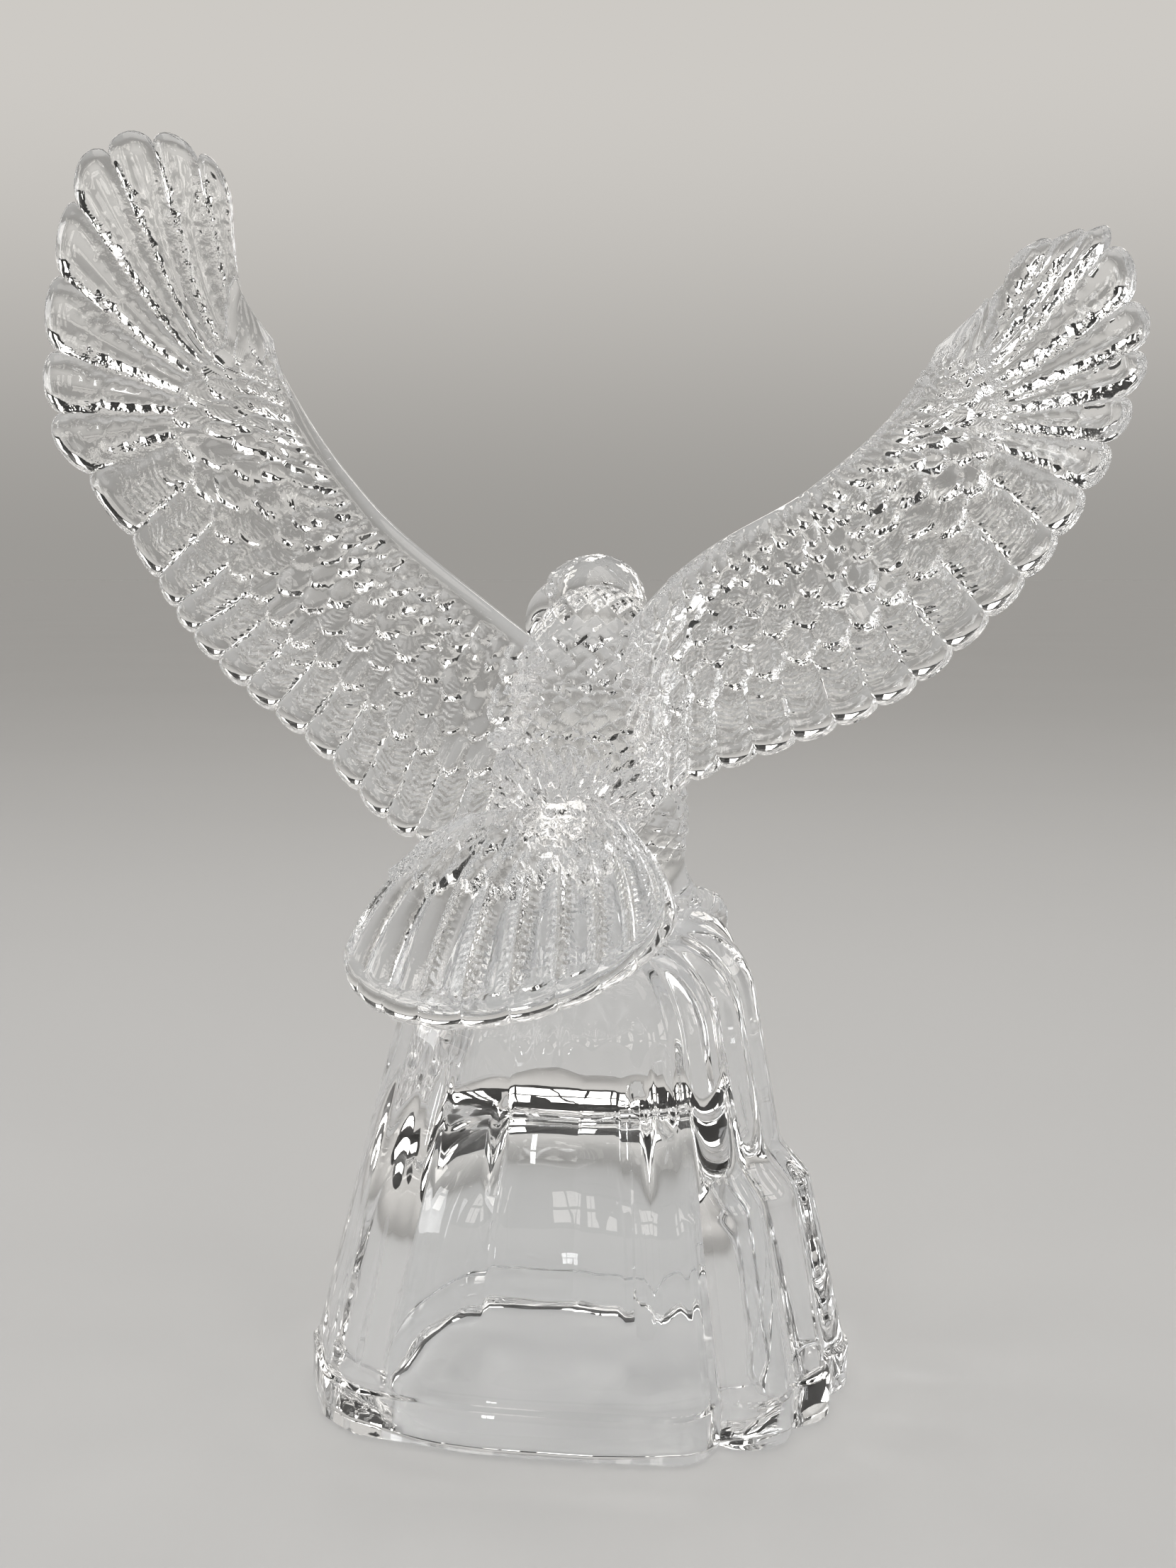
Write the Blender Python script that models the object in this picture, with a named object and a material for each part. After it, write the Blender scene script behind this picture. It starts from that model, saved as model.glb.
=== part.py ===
# Crystal eagle with raised wings on a fluted rock, cast as one piece of clear glass.
# Metres, +Z up. The eagle faces -Y, and its back and tail are towards +Y.

import math

import bmesh
import bpy
import numpy as np
from mathutils import Matrix

# Sizes of the whole figure
STATUE_HEIGHT = 0.264
ROCK_HEIGHT = 0.098

# Rock: a hollow tapered block of flat faces and rounded columns, open underneath
ROCK_WIDTH = 0.115
ROCK_DEPTH = 0.082
ROCK_TAPER = 0.405
ROCK_TOP_SLOPE = 0.32
BAND_HEIGHT = 0.009
BAND_STEP = 0.0009
FOOT_CHAMFER = 0.0012
WALL = 0.0072
CAVITY_HEIGHT = 0.064
BLOCK_HEIGHT = 0.050
BLOCK_STEP = 0.10

# Glass thickness of the feathered parts, and the height of the carving on them
WING_ARM_THICK = 0.0078
WING_TIP_THICK = 0.0032
TAIL_THICK = 0.0050
RIB_HEIGHT = 0.0010
COVERT_STEP = 0.0009
COVERT_KNOB = 0.0003
PRIMARY_NOTCH = 0.0036
SECONDARY_NOTCH = 0.0016

# Counts of the carved feathers
PRIMARIES = 8
SECONDARIES = 15
TAIL_FEATHERS = 11
FEATHERS = PRIMARIES + SECONDARIES

# How finely the shapes are cut into faces
ROCK_SIDES = 72
CAVITY_SIDES = 36
BODY_SIDES = 16
HEAD_SIDES = 14
LEG_SIDES = 10
TOE_SIDES = 8
CRISP_ANGLE = math.radians(40)

# Shares of a feather row, from the leading edge or the root to the feather tips
WING_ROWS = (0, 0.03, 0.1, 0.28, 0.46, 0.5, 0.75, 0.95, 1)
WING_COVERTS_END = 0.5
TAIL_ROWS = (0, 0.1, 0.38, 0.44, 0.8, 0.95, 1)
TAIL_COVERTS_END = 0.44

# The eagle's pose, in hundredths of its own height, measured from the middle of the rock top.
# A wing has its leading edge, then its feather tips, each as feather number and place.
# Feather 0 is the foremost primary and the last one lies against the body.
LEFT_WING = {
    "side": 1,
    "lead": (
        (0, (42.1, -3.7, 72.8)),
        (7, (34.0, -4.6, 60.5)),
        (12.5, (26.6, -4.8, 51.7)),
        (20, (10.0, -2.4, 38.9)),
        (23, (3.0, -3.6, 33.0)),
    ),
    "tips": (
        (0, (45.9, -2.6, 94.0)),
        (0.6, (48.4, -2.4, 97.2)),
        (2.5, (59.3, -1.2, 100.6)),
        (3.5, (64.6, 0.6, 97.2)),
        (4.5, (67.2, 2.4, 88.2)),
        (6.5, (68.4, 5.4, 69.0)),
        (7.5, (66.6, 6.2, 61.2)),
        (8.5, (59.4, 7.2, 52.6)),
        (12.5, (46.6, 9.0, 35.6)),
        (16.5, (31.3, 10.8, 23.4)),
        (20, (18.6, 12.0, 12.9)),
        (23, (6.5, 9.5, 14.5)),
    ),
    "wrist": (43.7, 1.2, 64.5),
}
RIGHT_WING = {
    "side": -1,
    "lead": (
        (0, (43.5, 3.8, 69.5)),
        (7, (36.5, 2.6, 61.5)),
        (12.5, (28.2, 0.6, 54.6)),
        (20, (11.6, -1.2, 43.7)),
        (23, (4.0, -3.6, 35.0)),
    ),
    "tips": (
        (0, (50.6, 6.4, 79.4)),
        (0.6, (53.8, 7.8, 82.0)),
        (2.5, (59.9, 12.0, 82.4)),
        (4.5, (64.4, 16.9, 71.6)),
        (6.5, (62.5, 19.3, 61.2)),
        (8.5, (57.6, 18.1, 50.9)),
        (12.5, (43.3, 15.7, 34.2)),
        (20, (11.8, 8.4, 18.4)),
        (23, (6.5, 8.0, 13.0)),
    ),
    "wrist": (43.1, 6.0, 61.9),
}
# Body from tail root to neck: back-to-front place, height, half width, half depth
BODY = (
    (16.5, 13.5, 4.5, 2.5),
    (12.0, 16.0, 8.0, 5.0),
    (4.5, 18.8, 10.4, 8.4),
    (-1.5, 24.5, 11.0, 10.4),
    (-5.5, 31.0, 10.4, 9.8),
    (-8.8, 36.4, 8.2, 7.8),
    (-12.0, 39.6, 6.4, 6.2),
)
# The tail fan hangs from its root; side and drop are the half axes of the fan's outer edge
TAIL = {
    "root": (3.0, 12.7, 17.0),
    "root half": 6.8,
    "middle": (4.0, 27.1, 4.5),
    "side": (19.2, -1.0, -3.2),
    "drop": (1.0, 3.0, -9.6),
    "curl": 2.0,
    "bulge": 2.4,
    "arch": 2.2,
    "notch": 0.02,
}
# Glass left standing under the belly, between the legs
STUMP = {"place": (0.0, -4.0, 3.0), "radii": (9.5, 9.0, 12.0)}
# Leg from hip to foot, with the radius at each place
LEG = (
    ((5.6, -1.0, 23.5), 3.6),
    ((6.7, -3.8, 18.6), 5.2),
    ((7.4, -6.6, 12.8), 4.9),
    ((8.5, -8.2, 8.2), 3.4),
    ((9.8, -9.2, 5.2), 2.5),
    ((11.4, -10.7, 2.0), 2.7),
)
# Toes spread around the foot: degrees outwards from straight ahead
TOE_DIRECTIONS = (50, 12, -26, -150)
TOE_LENGTH = 5.8
TOE_RADIUS = 1.9
# Along one toe: share of its length, height above the foot, share of its radius
TOE_SHAPE = ((-0.12, 0.0, 1.1), (0.45, 0.1, 1.0), (0.85, -1.6, 0.8), (1.0, -4.4, 0.35))
TOE_LIFT = 0.17
# Neck, skull and hooked beak, turned towards the eagle's left: place, half width, half height
HEAD = (
    ((0.2, -11.5, 38.8), 6.2, 6.2),
    ((0.5, -14.0, 40.8), 6.1, 6.2),
    ((1.5, -16.6, 41.6), 6.0, 5.9),
    ((3.5, -18.7, 41.8), 5.6, 5.4),
    ((5.3, -20.4, 41.4), 4.4, 4.7),
    ((6.4, -21.4, 41.0), 2.7, 3.7),
    ((8.8, -23.3, 40.8), 2.2, 3.1),
    ((11.0, -25.0, 39.7), 1.6, 2.3),
    ((12.3, -26.0, 37.8), 1.0, 1.3),
    ((12.6, -26.3, 35.8), 0.3, 0.4),
)
EYE = {"station": 3, "aside": 5.1, "above": 1.0, "radius": 1.2}

# Corners of the rock's plan around its axis, as shares of its half width and half depth
ROCK_PLAN = (
    (1.016, 0.226),
    (0.853, 0.724),
    (0.693, 0.889),
    (0.262, 0.973),
    (-0.097, 0.961),
    (-0.468, 0.903),
    (-0.534, 0.817),
    (-0.680, 0.195),
    (-0.713, -0.290),
    (-0.630, -0.680),
    (-0.260, -0.800),
    (0.243, -0.800),
    (0.660, -0.700),
    (0.900, -0.440),
    (1.000, -0.120),
)
# Round columns that stand out of the plan: direction in degrees from +X, share of the
# oblong's reach, share of that as radius, and whether the column belongs to the low block
ROCK_COLUMNS = (
    (153, 0.88, 0.17, True),
    (170, 0.93, 0.16, True),
    (190, 0.98, 0.22, True),
    (218, 0.93, 0.36, False),
    (250, 0.98, 0.42, False),
    (284, 1.0, 0.42, False),
    (315, 0.97, 0.34, False),
    (343, 0.96, 0.30, False),
)
# The columns stand around a rounded oblong: 2 is an oval and a larger power is squarer
OBLONG_POWER = 3.0
# Faces and columns meet in edges and grooves: the larger the power, the sharper they are
EDGE_POWER = 130
GROOVE_POWER = 28
PLAN_SHIFT = (0.0005, -0.002)
ROCK_LEAN = -0.0018
# Share of the height where the top starts to round over, and how far it draws in
CROWN_START = 0.86
CROWN_DRAW_IN = 0.42
CAVITY_CROWN_START = 0.55
CAVITY_DRAW_IN = 0.45

# A wing fans from its wrist: length of the fan's hub, and how much longer it is at feather 0
HUB_REACH = 8.2
HUB_STRETCH = 0.9
# How far the wing bellies out backwards halfway along its secondaries
WING_BELLY = 1.8
# Share of the mean normal mixed into each normal of a feathered sheet, against folds
STEADY = 0.5


def hermite(share, start, end, start_slope, end_slope):
    """Cubic between two points that leaves and arrives with the given slopes."""
    square = share * share
    cube = square * share
    return (
        (2 * cube - 3 * square + 1) * start
        + (cube - 2 * square + share) * start_slope
        + (3 * square - 2 * cube) * end
        + (cube - square) * end_slope
    )


def through(stations, at):
    """Smooth curve through (number, place) stations that doesn't swing past them."""
    keys = np.array([number for number, _ in stations], float)
    values = np.array([place for _, place in stations], float)
    slopes = np.gradient(values, keys, axis=0)
    chords = np.diff(values, axis=0) / np.diff(keys)[:, None]
    gentler = np.minimum(np.abs(chords[:-1]), np.abs(chords[1:]))
    slopes[1:-1] = np.clip(slopes[1:-1], -3 * gentler, 3 * gentler)
    at = np.clip(np.asarray(at, float), keys[0], keys[-1])
    lower = np.clip(np.searchsorted(keys, at, side="right") - 1, 0, len(keys) - 2)
    span = keys[lower + 1] - keys[lower]
    share = ((at - keys[lower]) / span)[..., None]
    return hermite(
        share,
        values[lower],
        values[lower + 1],
        span[..., None] * slopes[lower],
        span[..., None] * slopes[lower + 1],
    )


def ease(value, start, end):
    """0 before start, 1 after end and smooth between."""
    share = np.clip((np.asarray(value, float) - start) / (end - start), 0, 1)
    return share * share * (3 - 2 * share)


def unit(vectors):
    lengths = np.linalg.norm(vectors, axis=-1, keepdims=True)
    return vectors / np.maximum(lengths, 1e-12)


def round_over(share):
    """0 at the start of a quarter round and 1 where it has turned fully in."""
    share = np.clip(share, 0, 1)
    return 1 - np.sqrt(1 - share * share)


def eagle_scale():
    return (STATUE_HEIGHT - ROCK_HEIGHT) / 100


def place(shares):
    """Point on the eagle, in metres, from hundredths of its height."""
    return np.asarray(shares, float) * eagle_scale() + np.array([0, 0, ROCK_HEIGHT])


def make_object(name, points, faces):
    """Mesh object of triangles with smooth shading and crisp carved edges."""
    mesh = bpy.data.meshes.new(name)
    mesh.from_pydata([tuple(point) for point in points], [], faces)
    net = bmesh.new()
    net.from_mesh(mesh)
    bmesh.ops.triangulate(net, faces=net.faces)
    net.to_mesh(mesh)
    net.free()
    mesh.shade_smooth()
    mesh.set_sharp_from_angle(angle=CRISP_ANGLE)
    made = bpy.data.objects.new(name, mesh)
    bpy.context.scene.collection.objects.link(made)
    return made


def turned_outward(points, faces):
    """The faces, reversed where they enclose a negative volume."""
    volume = 0.0
    for face in faces:
        first = points[face[0]]
        for second, third in zip(face[1:-1], face[2:]):
            volume += np.dot(first, np.cross(points[second], points[third]))
    if volume < 0:
        return [face[::-1] for face in faces]
    return faces


def closed_tube(name, rings):
    """Solid from rings of equal count, closed by a flat end at each side."""
    rings = np.asarray(rings)
    count = rings.shape[1]
    points = rings.reshape(-1, 3)
    faces = []
    for row in range(len(rings) - 1):
        for side in range(count):
            after = (side + 1) % count
            faces.append(
                (
                    row * count + side,
                    row * count + after,
                    (row + 1) * count + after,
                    (row + 1) * count + side,
                )
            )
    faces.append(tuple(range(count))[::-1])
    faces.append(tuple((len(rings) - 1) * count + side for side in range(count)))
    return make_object(name, points, turned_outward(points, faces))


def plate(name, middle, outward, above, below):
    """Solid sheet over a grid of middle points, its border rows shared by both sides."""
    rows, columns = middle.shape[:2]
    for thickness in (above, below):
        thickness[0] = thickness[-1] = 0
        thickness[:, 0] = thickness[:, -1] = 0
    upper = middle + outward * above[..., None]
    lower = middle - outward * below[..., None]
    points = list(upper.reshape(-1, 3))
    number = np.arange(rows * columns).reshape(rows, columns)
    beneath = number.copy()
    for row in range(1, rows - 1):
        for column in range(1, columns - 1):
            beneath[row, column] = len(points)
            points.append(lower[row, column])
    faces = []
    for row in range(rows - 1):
        for column in range(columns - 1):
            for grid, step in ((number, 1), (beneath, -1)):
                corners = (
                    grid[row, column],
                    grid[row + 1, column],
                    grid[row + 1, column + 1],
                    grid[row, column + 1],
                )
                faces.append(tuple(int(corner) for corner in corners[::step]))
    points = np.array(points)
    return make_object(name, points, turned_outward(points, faces))


def rim_rise(distance, reach):
    """Quarter-round rise from 0 at the edge to 1 at the reach."""
    share = np.clip(1 - distance / reach, 0, 1)
    return np.sqrt(1 - share * share)


def feather_ribs(numbers):
    """Rounded back of each feather, 0 in the groove and 1 on the shaft."""
    part = numbers - np.floor(numbers)
    return np.sqrt(np.maximum(1 - (2 * part - 1) ** 2, 0))


def feather_numbers(count, fine_count=0):
    """Grid lines across the feathers: three to each, and four to each of the first ones."""
    numbers = []
    for feather in range(count):
        parts = (0, 0.15, 0.5, 0.85) if feather < fine_count else (0, 0.25, 0.75)
        numbers += [feather + part for part in parts]
    return np.array(numbers + [count])


def wing_centre(wing, number, lead, tip):
    """Where the coverts end: around the wrist for primaries, halfway for secondaries."""
    wrist = np.array(wing["wrist"], float)
    stretch = 1 + HUB_STRETCH * (1 - ease(number, 0, 1.6))
    fanned = wrist + unit(tip - wrist) * HUB_REACH * stretch[..., None]
    halfway = (lead + tip) / 2
    halfway[..., 1] += WING_BELLY
    weight = 1 - ease(number, PRIMARIES - 0.5, PRIMARIES + 4)
    weight = (weight * (0.5 + 0.5 * ease(number, 0, 2.5)))[..., None]
    return fanned * weight + halfway * (1 - weight)


def wing_surface(wing, numbers, rows):
    """Middle surface of the wing, with scalloped feather tips."""
    number, row = np.meshgrid(numbers, rows, indexing="ij")
    lead = through(wing["lead"], number)
    tip = through(wing["tips"], number)
    centre = wing_centre(wing, number, lead, tip)
    inner_run = np.linalg.norm(centre - lead, axis=-1, keepdims=True)
    outer_run = np.linalg.norm(tip - centre, axis=-1, keepdims=True)
    change = ease(number, PRIMARIES - 1, PRIMARIES + 1.5)
    notch = PRIMARY_NOTCH + (SECONDARY_NOTCH - PRIMARY_NOTCH) * change
    dip = (1 - feather_ribs(number)) * notch / (2 * outer_run[..., 0] * eagle_scale())
    along = (row - dip * row**4)[..., None]
    heading = unit(0.4 * unit(centre - lead) + 0.6 * unit(tip - centre)) * 0.8
    inner = hermite(2 * along, lead, centre, centre - lead, heading * inner_run)
    outer = hermite(2 * along - 1, centre, tip, heading * outer_run, tip - centre)
    middle = np.where(along < 0.5, inner, outer)
    middle[..., 0] *= wing["side"]
    return number, row, place(middle)


def surface_outward(middle, towards):
    """Unit normals of a grid, on the side of the given direction, steadied by their mean."""
    across = unit(np.gradient(middle, axis=0))
    along = unit(np.gradient(middle, axis=1))
    outward = np.cross(across, along)
    mean = unit(outward.sum(axis=(0, 1)))
    if mean @ np.array(towards) < 0:
        outward = -outward
        mean = -mean
    return unit(outward + STEADY * mean)


def make_wing(name, wing):
    """Wing sheet: thick leading edge, raised coverts, ribbed feathers and a rounded rim."""
    numbers = feather_numbers(FEATHERS, PRIMARIES)
    number, row, middle = wing_surface(wing, numbers, WING_ROWS)
    outward = surface_outward(middle, (0, 1, 0.3))
    hand = 1 - ease(number, PRIMARIES - 2, FEATHERS)
    thick = WING_ARM_THICK + (WING_TIP_THICK - WING_ARM_THICK) * row**0.7
    thick = thick * (1 - 0.12 * hand)
    rim = rim_rise(row, 0.1) * rim_rise(1 - row, 0.12)
    rim = rim * rim_rise(number, 0.6) * rim_rise(FEATHERS - number, 0.5)
    coverts = 1 - ease(row, WING_COVERTS_END - 0.04, WING_COVERTS_END)
    carved = (1 - coverts) * (1 - ease(row, 0.9, 1.0))
    rib = RIB_HEIGHT * (feather_ribs(number) - 0.6) * carved
    rows_of_knobs = np.round((row - 0.1) / 0.12)
    knobs = np.cos(2 * math.pi * number + math.pi * rows_of_knobs) * ease(row, 0.05, 0.15)
    above = thick / 2 + rib + COVERT_STEP * coverts + COVERT_KNOB * knobs * coverts
    below = thick / 2 + rib / 2
    return plate(name, middle, outward, above * rim, below * rim)


def tail_surface(numbers, rows):
    """Middle surface of the tail fan, arched across and bulging at its sides."""
    number, row = np.meshgrid(numbers, rows, indexing="ij")
    angle = math.pi * number / TAIL_FEATHERS
    cosine = np.cos(angle)
    sine = np.sin(angle)
    side = np.array(TAIL["side"])
    root = np.array(TAIL["root"]) + cosine[..., None] * unit(side) * TAIL["root half"]
    end = np.array(TAIL["middle"]) + cosine[..., None] * side
    end = end + sine[..., None] * np.array(TAIL["drop"])
    end[..., 1] -= TAIL["curl"] * cosine**2
    along = row - TAIL["notch"] * (1 - feather_ribs(number)) * row**4
    middle = root + (end - root) * along[..., None]
    swell = 4 * along * (1 - along)
    lift = swell * TAIL["arch"] * (0.4 + 0.6 * sine)
    middle[..., 0] += swell * TAIL["bulge"] * cosine
    middle[..., 1] += lift * 0.6
    middle[..., 2] += lift * 0.8
    return number, row, place(middle)


def make_tail(name):
    """Tail sheet: raised coverts at the root, ribbed feathers and a rounded rim."""
    number, row, middle = tail_surface(feather_numbers(TAIL_FEATHERS), TAIL_ROWS)
    outward = surface_outward(middle, (0, 1, 0.6))
    rim = rim_rise(1 - row, 0.1) * rim_rise(row, 0.1)
    rim = rim * rim_rise(number, 0.7) * rim_rise(TAIL_FEATHERS - number, 0.7)
    coverts = 1 - ease(row, TAIL_COVERTS_END - 0.06, TAIL_COVERTS_END)
    carved = (1 - coverts) * (1 - ease(row, 0.86, 0.95))
    above = TAIL_THICK / 2 + RIB_HEIGHT * (feather_ribs(number) - 0.6) * carved
    above = above + COVERT_STEP * coverts
    below = np.full(row.shape, TAIL_THICK / 2)
    return plate(name, middle, outward, above * rim, below * rim)


def oval_ring(middle, first, second, sides):
    """Ring of places around a middle, spanned by two half axes."""
    turns = np.linspace(0, 2 * math.pi, sides, endpoint=False)[:, None]
    return middle + first * np.cos(turns) + second * np.sin(turns)


def make_body(name):
    """Body and neck root as one run of oval rings across a bent spine."""
    rows = list(enumerate(BODY))
    steps = np.linspace(0, len(BODY) - 1, 2 * len(BODY) - 1)
    spine = through(rows, steps)
    centres = np.stack([np.zeros(len(steps)), spine[:, 0], spine[:, 1]], axis=1)
    forward = unit(np.gradient(centres, axis=0))
    across = np.array([1.0, 0.0, 0.0])
    rings = []
    for centre, direction, row in zip(centres, forward, spine):
        upright = np.cross(direction, across)
        rings.append(place(oval_ring(centre, across * row[2], upright * row[3], BODY_SIDES)))
    return closed_tube(name, rings)


def egg(name, middle, radii, sides=14, rows=8):
    """Closed egg shape with the given middle and half sizes, in hundredths."""
    rings = []
    for turn in np.linspace(0, math.pi, rows + 1)[1:-1]:
        centre = np.array(middle, float) + np.array([0, 0, radii[2] * math.cos(turn)])
        first = np.array([radii[0] * math.sin(turn), 0, 0])
        second = np.array([0, radii[1] * math.sin(turn), 0])
        rings.append(place(oval_ring(centre, first, second, sides)))
    return closed_tube(name, rings)


def limb(name, path, radii, sides):
    """Round tapering limb along a path of places, in hundredths."""
    path = np.array(path, float)
    forward = unit(np.gradient(path, axis=0))
    rings = []
    for centre, direction, radius in zip(path, forward, radii):
        helper = np.array([0.0, 1.0, 0.3])
        first = unit(np.cross(direction, helper)) * radius
        second = np.cross(direction, first)
        rings.append(place(oval_ring(centre, first, second, sides)))
    return closed_tube(name, rings)


def make_head(name):
    """Neck, skull and beak as one run of oval rings, with an eye on each side."""
    path = np.array([centre for centre, _, _ in HEAD], float)
    forward = unit(np.gradient(path, axis=0))
    sideways = unit(np.cross(forward, np.array([0.0, 0.0, 1.0])))
    upright = np.cross(sideways, forward)
    rings = []
    for number, (_, half_width, half_height) in enumerate(HEAD):
        first = sideways[number] * half_width
        second = upright[number] * half_height
        rings.append(place(oval_ring(path[number], first, second, HEAD_SIDES)))
    pieces = [closed_tube(name, rings)]
    at = EYE["station"]
    for side in (-1, 1):
        middle = path[at] + side * EYE["aside"] * sideways[at] + EYE["above"] * upright[at]
        pieces.append(egg(f"{name}_eye_{side + 1}", middle, [EYE["radius"]] * 3, 8, 6))
    return pieces


def make_leg(name, side):
    """Leg and four gripping toes on one side."""
    mirror = np.array([side, 1, 1])
    path = [np.array(centre) * mirror for centre, _ in LEG]
    pieces = [limb(name, path, [radius for _, radius in LEG], LEG_SIDES)]
    foot = path[-1]
    for number, turn in enumerate(TOE_DIRECTIONS):
        heading = math.radians(turn)
        ahead = np.array([math.sin(heading) * side, -math.cos(heading), 0.0]) * TOE_LENGTH
        toe = [foot + ahead * run + np.array([0, 0, rise]) for run, rise, _ in TOE_SHAPE]
        toe[0] = toe[0] + np.array([0, 0, TOE_LIFT * number])
        radii = [TOE_RADIUS * share for _, _, share in TOE_SHAPE]
        pieces.append(limb(f"{name}_toe_{number}", toe, radii, TOE_SIDES))
    return pieces


def oblong_reach(directions):
    """Distance from the rock's axis to the rounded oblong that its columns stand around."""
    squareness = np.abs(np.cos(directions) / (ROCK_WIDTH / 2)) ** OBLONG_POWER
    squareness = squareness + np.abs(np.sin(directions) / (ROCK_DEPTH / 2)) ** OBLONG_POWER
    return squareness ** (-1 / OBLONG_POWER)


def plan_corners():
    return np.array(ROCK_PLAN) * np.array([ROCK_WIDTH / 2, ROCK_DEPTH / 2])


def plan_reach(directions):
    """Distance from the rock's axis to the flat faces between the corners of its plan."""
    corners = plan_corners()
    largest = ROCK_WIDTH / 2
    total = 0
    for corner, following in zip(corners, np.roll(corners, -1, axis=0)):
        along = following - corner
        normal = unit(np.array([along[1], -along[0]]))
        facing = normal[0] * np.cos(directions) + normal[1] * np.sin(directions)
        total = total + (np.maximum(facing, 0) * largest / (normal @ corner)) ** EDGE_POWER
    return largest * total ** (-1 / EDGE_POWER)


def column_reach(directions, turn, outer, radius):
    """Distance from the rock's axis to the far side of one round column, or 0 beside it."""
    off = np.abs((directions - math.radians(turn) + math.pi) % (2 * math.pi) - math.pi)
    middle = outer - radius
    inside = radius**2 - (middle * np.sin(off)) ** 2
    distance = middle * np.cos(off) + np.sqrt(np.maximum(inside, 0))
    return np.where((inside > 0) & (off < math.pi / 2), distance, 0)


def rock_reach(directions, level):
    """Distance from the rock's axis to its surface at a share of its height."""
    block = BLOCK_HEIGHT / ROCK_HEIGHT
    low_share = 1 - BLOCK_STEP * ease(level, block - 0.05, block + 0.05)
    reaches = [plan_reach(directions)]
    for turn, reach, radius, low in ROCK_COLUMNS:
        outer = reach * oblong_reach(math.radians(turn)) * (low_share if low else 1)
        reaches.append(column_reach(directions, turn, outer, radius * outer))
    largest = ROCK_WIDTH / 2
    total = sum((reach / largest) ** GROOVE_POWER for reach in reaches)
    return largest * total ** (1 / GROOVE_POWER)


def rock_levels():
    """Shares of the rock's height that get a ring."""
    band = BAND_HEIGHT / ROCK_HEIGHT
    chamfer = FOOT_CHAMFER / ROCK_HEIGHT
    block = BLOCK_HEIGHT / ROCK_HEIGHT
    turns = np.array([0, 0.35, 0.7, 1]) * math.pi / 2
    crown = CROWN_START + (1 - CROWN_START) * np.sin(turns)
    return [0, chamfer, band, band + 0.01, block - 0.05, block, block + 0.05, *crown]


def rock_ring(directions, level, inset=0.0):
    """One ring of the rock's outer surface, moved in by the inset."""
    band = BAND_HEIGHT / ROCK_HEIGHT
    reach = rock_reach(directions, level)
    if level < FOOT_CHAMFER / ROCK_HEIGHT / 2:
        reach = reach - FOOT_CHAMFER
    if level > band + 1e-6:
        reach = reach - BAND_STEP
    scale = 1 - ROCK_TAPER * max(level - band, 0)
    scale *= 1 - CROWN_DRAW_IN * round_over((level - CROWN_START) / (1 - CROWN_START))
    reach = reach * scale - inset
    across = reach * np.cos(directions) + PLAN_SHIFT[0] + ROCK_LEAN * level
    depth = reach * np.sin(directions) + PLAN_SHIFT[1]
    height = ROCK_HEIGHT * level - ROCK_TOP_SLOPE * depth * ease(level, 0.55, 0.95)
    return np.stack([across, depth, height], axis=1)


def rock_directions():
    """Even directions around the rock, the nearest one moved to each corner of its plan."""
    directions = np.linspace(0, 2 * math.pi, ROCK_SIDES, endpoint=False)
    for across, depth in plan_corners():
        turn = math.atan2(depth, across) % (2 * math.pi)
        directions[np.argmin(np.abs(directions - turn))] = turn
    return directions


def make_rock(name):
    directions = rock_directions()
    return closed_tube(name, [rock_ring(directions, level) for level in rock_levels()])


def make_cavity(name):
    """Hollow under the rock: the outer form moved in by the wall and rounded at the top."""
    step = 3
    window = 9
    fine = np.linspace(0, 2 * math.pi, CAVITY_SIDES * step, endpoint=False)
    rings = []
    for level in (-0.04, 0.3, 0.55, 0.75, 0.88, 0.96, 1.0):
        height = CAVITY_HEIGHT * level
        share = max(height, 0) / ROCK_HEIGHT
        ring = rock_ring(fine, share, WALL)
        axis = np.array(PLAN_SHIFT) + np.array([ROCK_LEAN * share, 0])
        reach = np.linalg.norm(ring[:, :2] - axis, axis=1)
        turned = [np.roll(reach, places) for places in range(-window, window + 1)]
        reach = np.minimum(np.mean(turned, axis=0), reach + 0.2 * WALL)
        crown = (level - CAVITY_CROWN_START) / (1 - CAVITY_CROWN_START)
        reach = reach[::step] * (1 - CAVITY_DRAW_IN * round_over(crown))
        across = reach * np.cos(fine[::step]) + axis[0]
        depth = reach * np.sin(fine[::step]) + axis[1]
        rings.append(np.stack([across, depth, np.full(len(reach), height)], axis=1))
    return closed_tube(name, rings)


def crystal_material():
    """Clear lead crystal: plain see-through glass values."""
    material = bpy.data.materials.new("clear lead crystal")
    material.use_nodes = True
    shader = material.node_tree.nodes["Principled BSDF"]
    shader.inputs["Base Color"].default_value = (0.97, 0.975, 0.98, 1)
    shader.inputs["Roughness"].default_value = 0.02
    shader.inputs["IOR"].default_value = 1.54
    shader.inputs["Transmission Weight"].default_value = 1.0
    return material


def hide(piece):
    """A shape that only joins or cuts another one."""
    piece.hide_render = True
    piece.display_type = "WIRE"


def join_all(base, pieces):
    """One skin around the base and all the pieces that overlap it."""
    group = bpy.data.collections.new("eagle shapes")
    bpy.context.scene.collection.children.link(group)
    for piece in pieces:
        bpy.context.scene.collection.objects.unlink(piece)
        group.objects.link(piece)
        hide(piece)
    step = base.modifiers.new("eagle joined to the rock", "BOOLEAN")
    step.operation = "UNION"
    step.solver = "EXACT"
    step.operand_type = "COLLECTION"
    step.collection = group


def cut(base, cutter):
    step = base.modifiers.new(cutter.name, "BOOLEAN")
    step.operation = "DIFFERENCE"
    step.solver = "EXACT"
    step.object = cutter
    hide(cutter)


def clear_scene():
    for old in list(bpy.data.objects):
        bpy.data.objects.remove(old, do_unlink=True)


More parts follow.
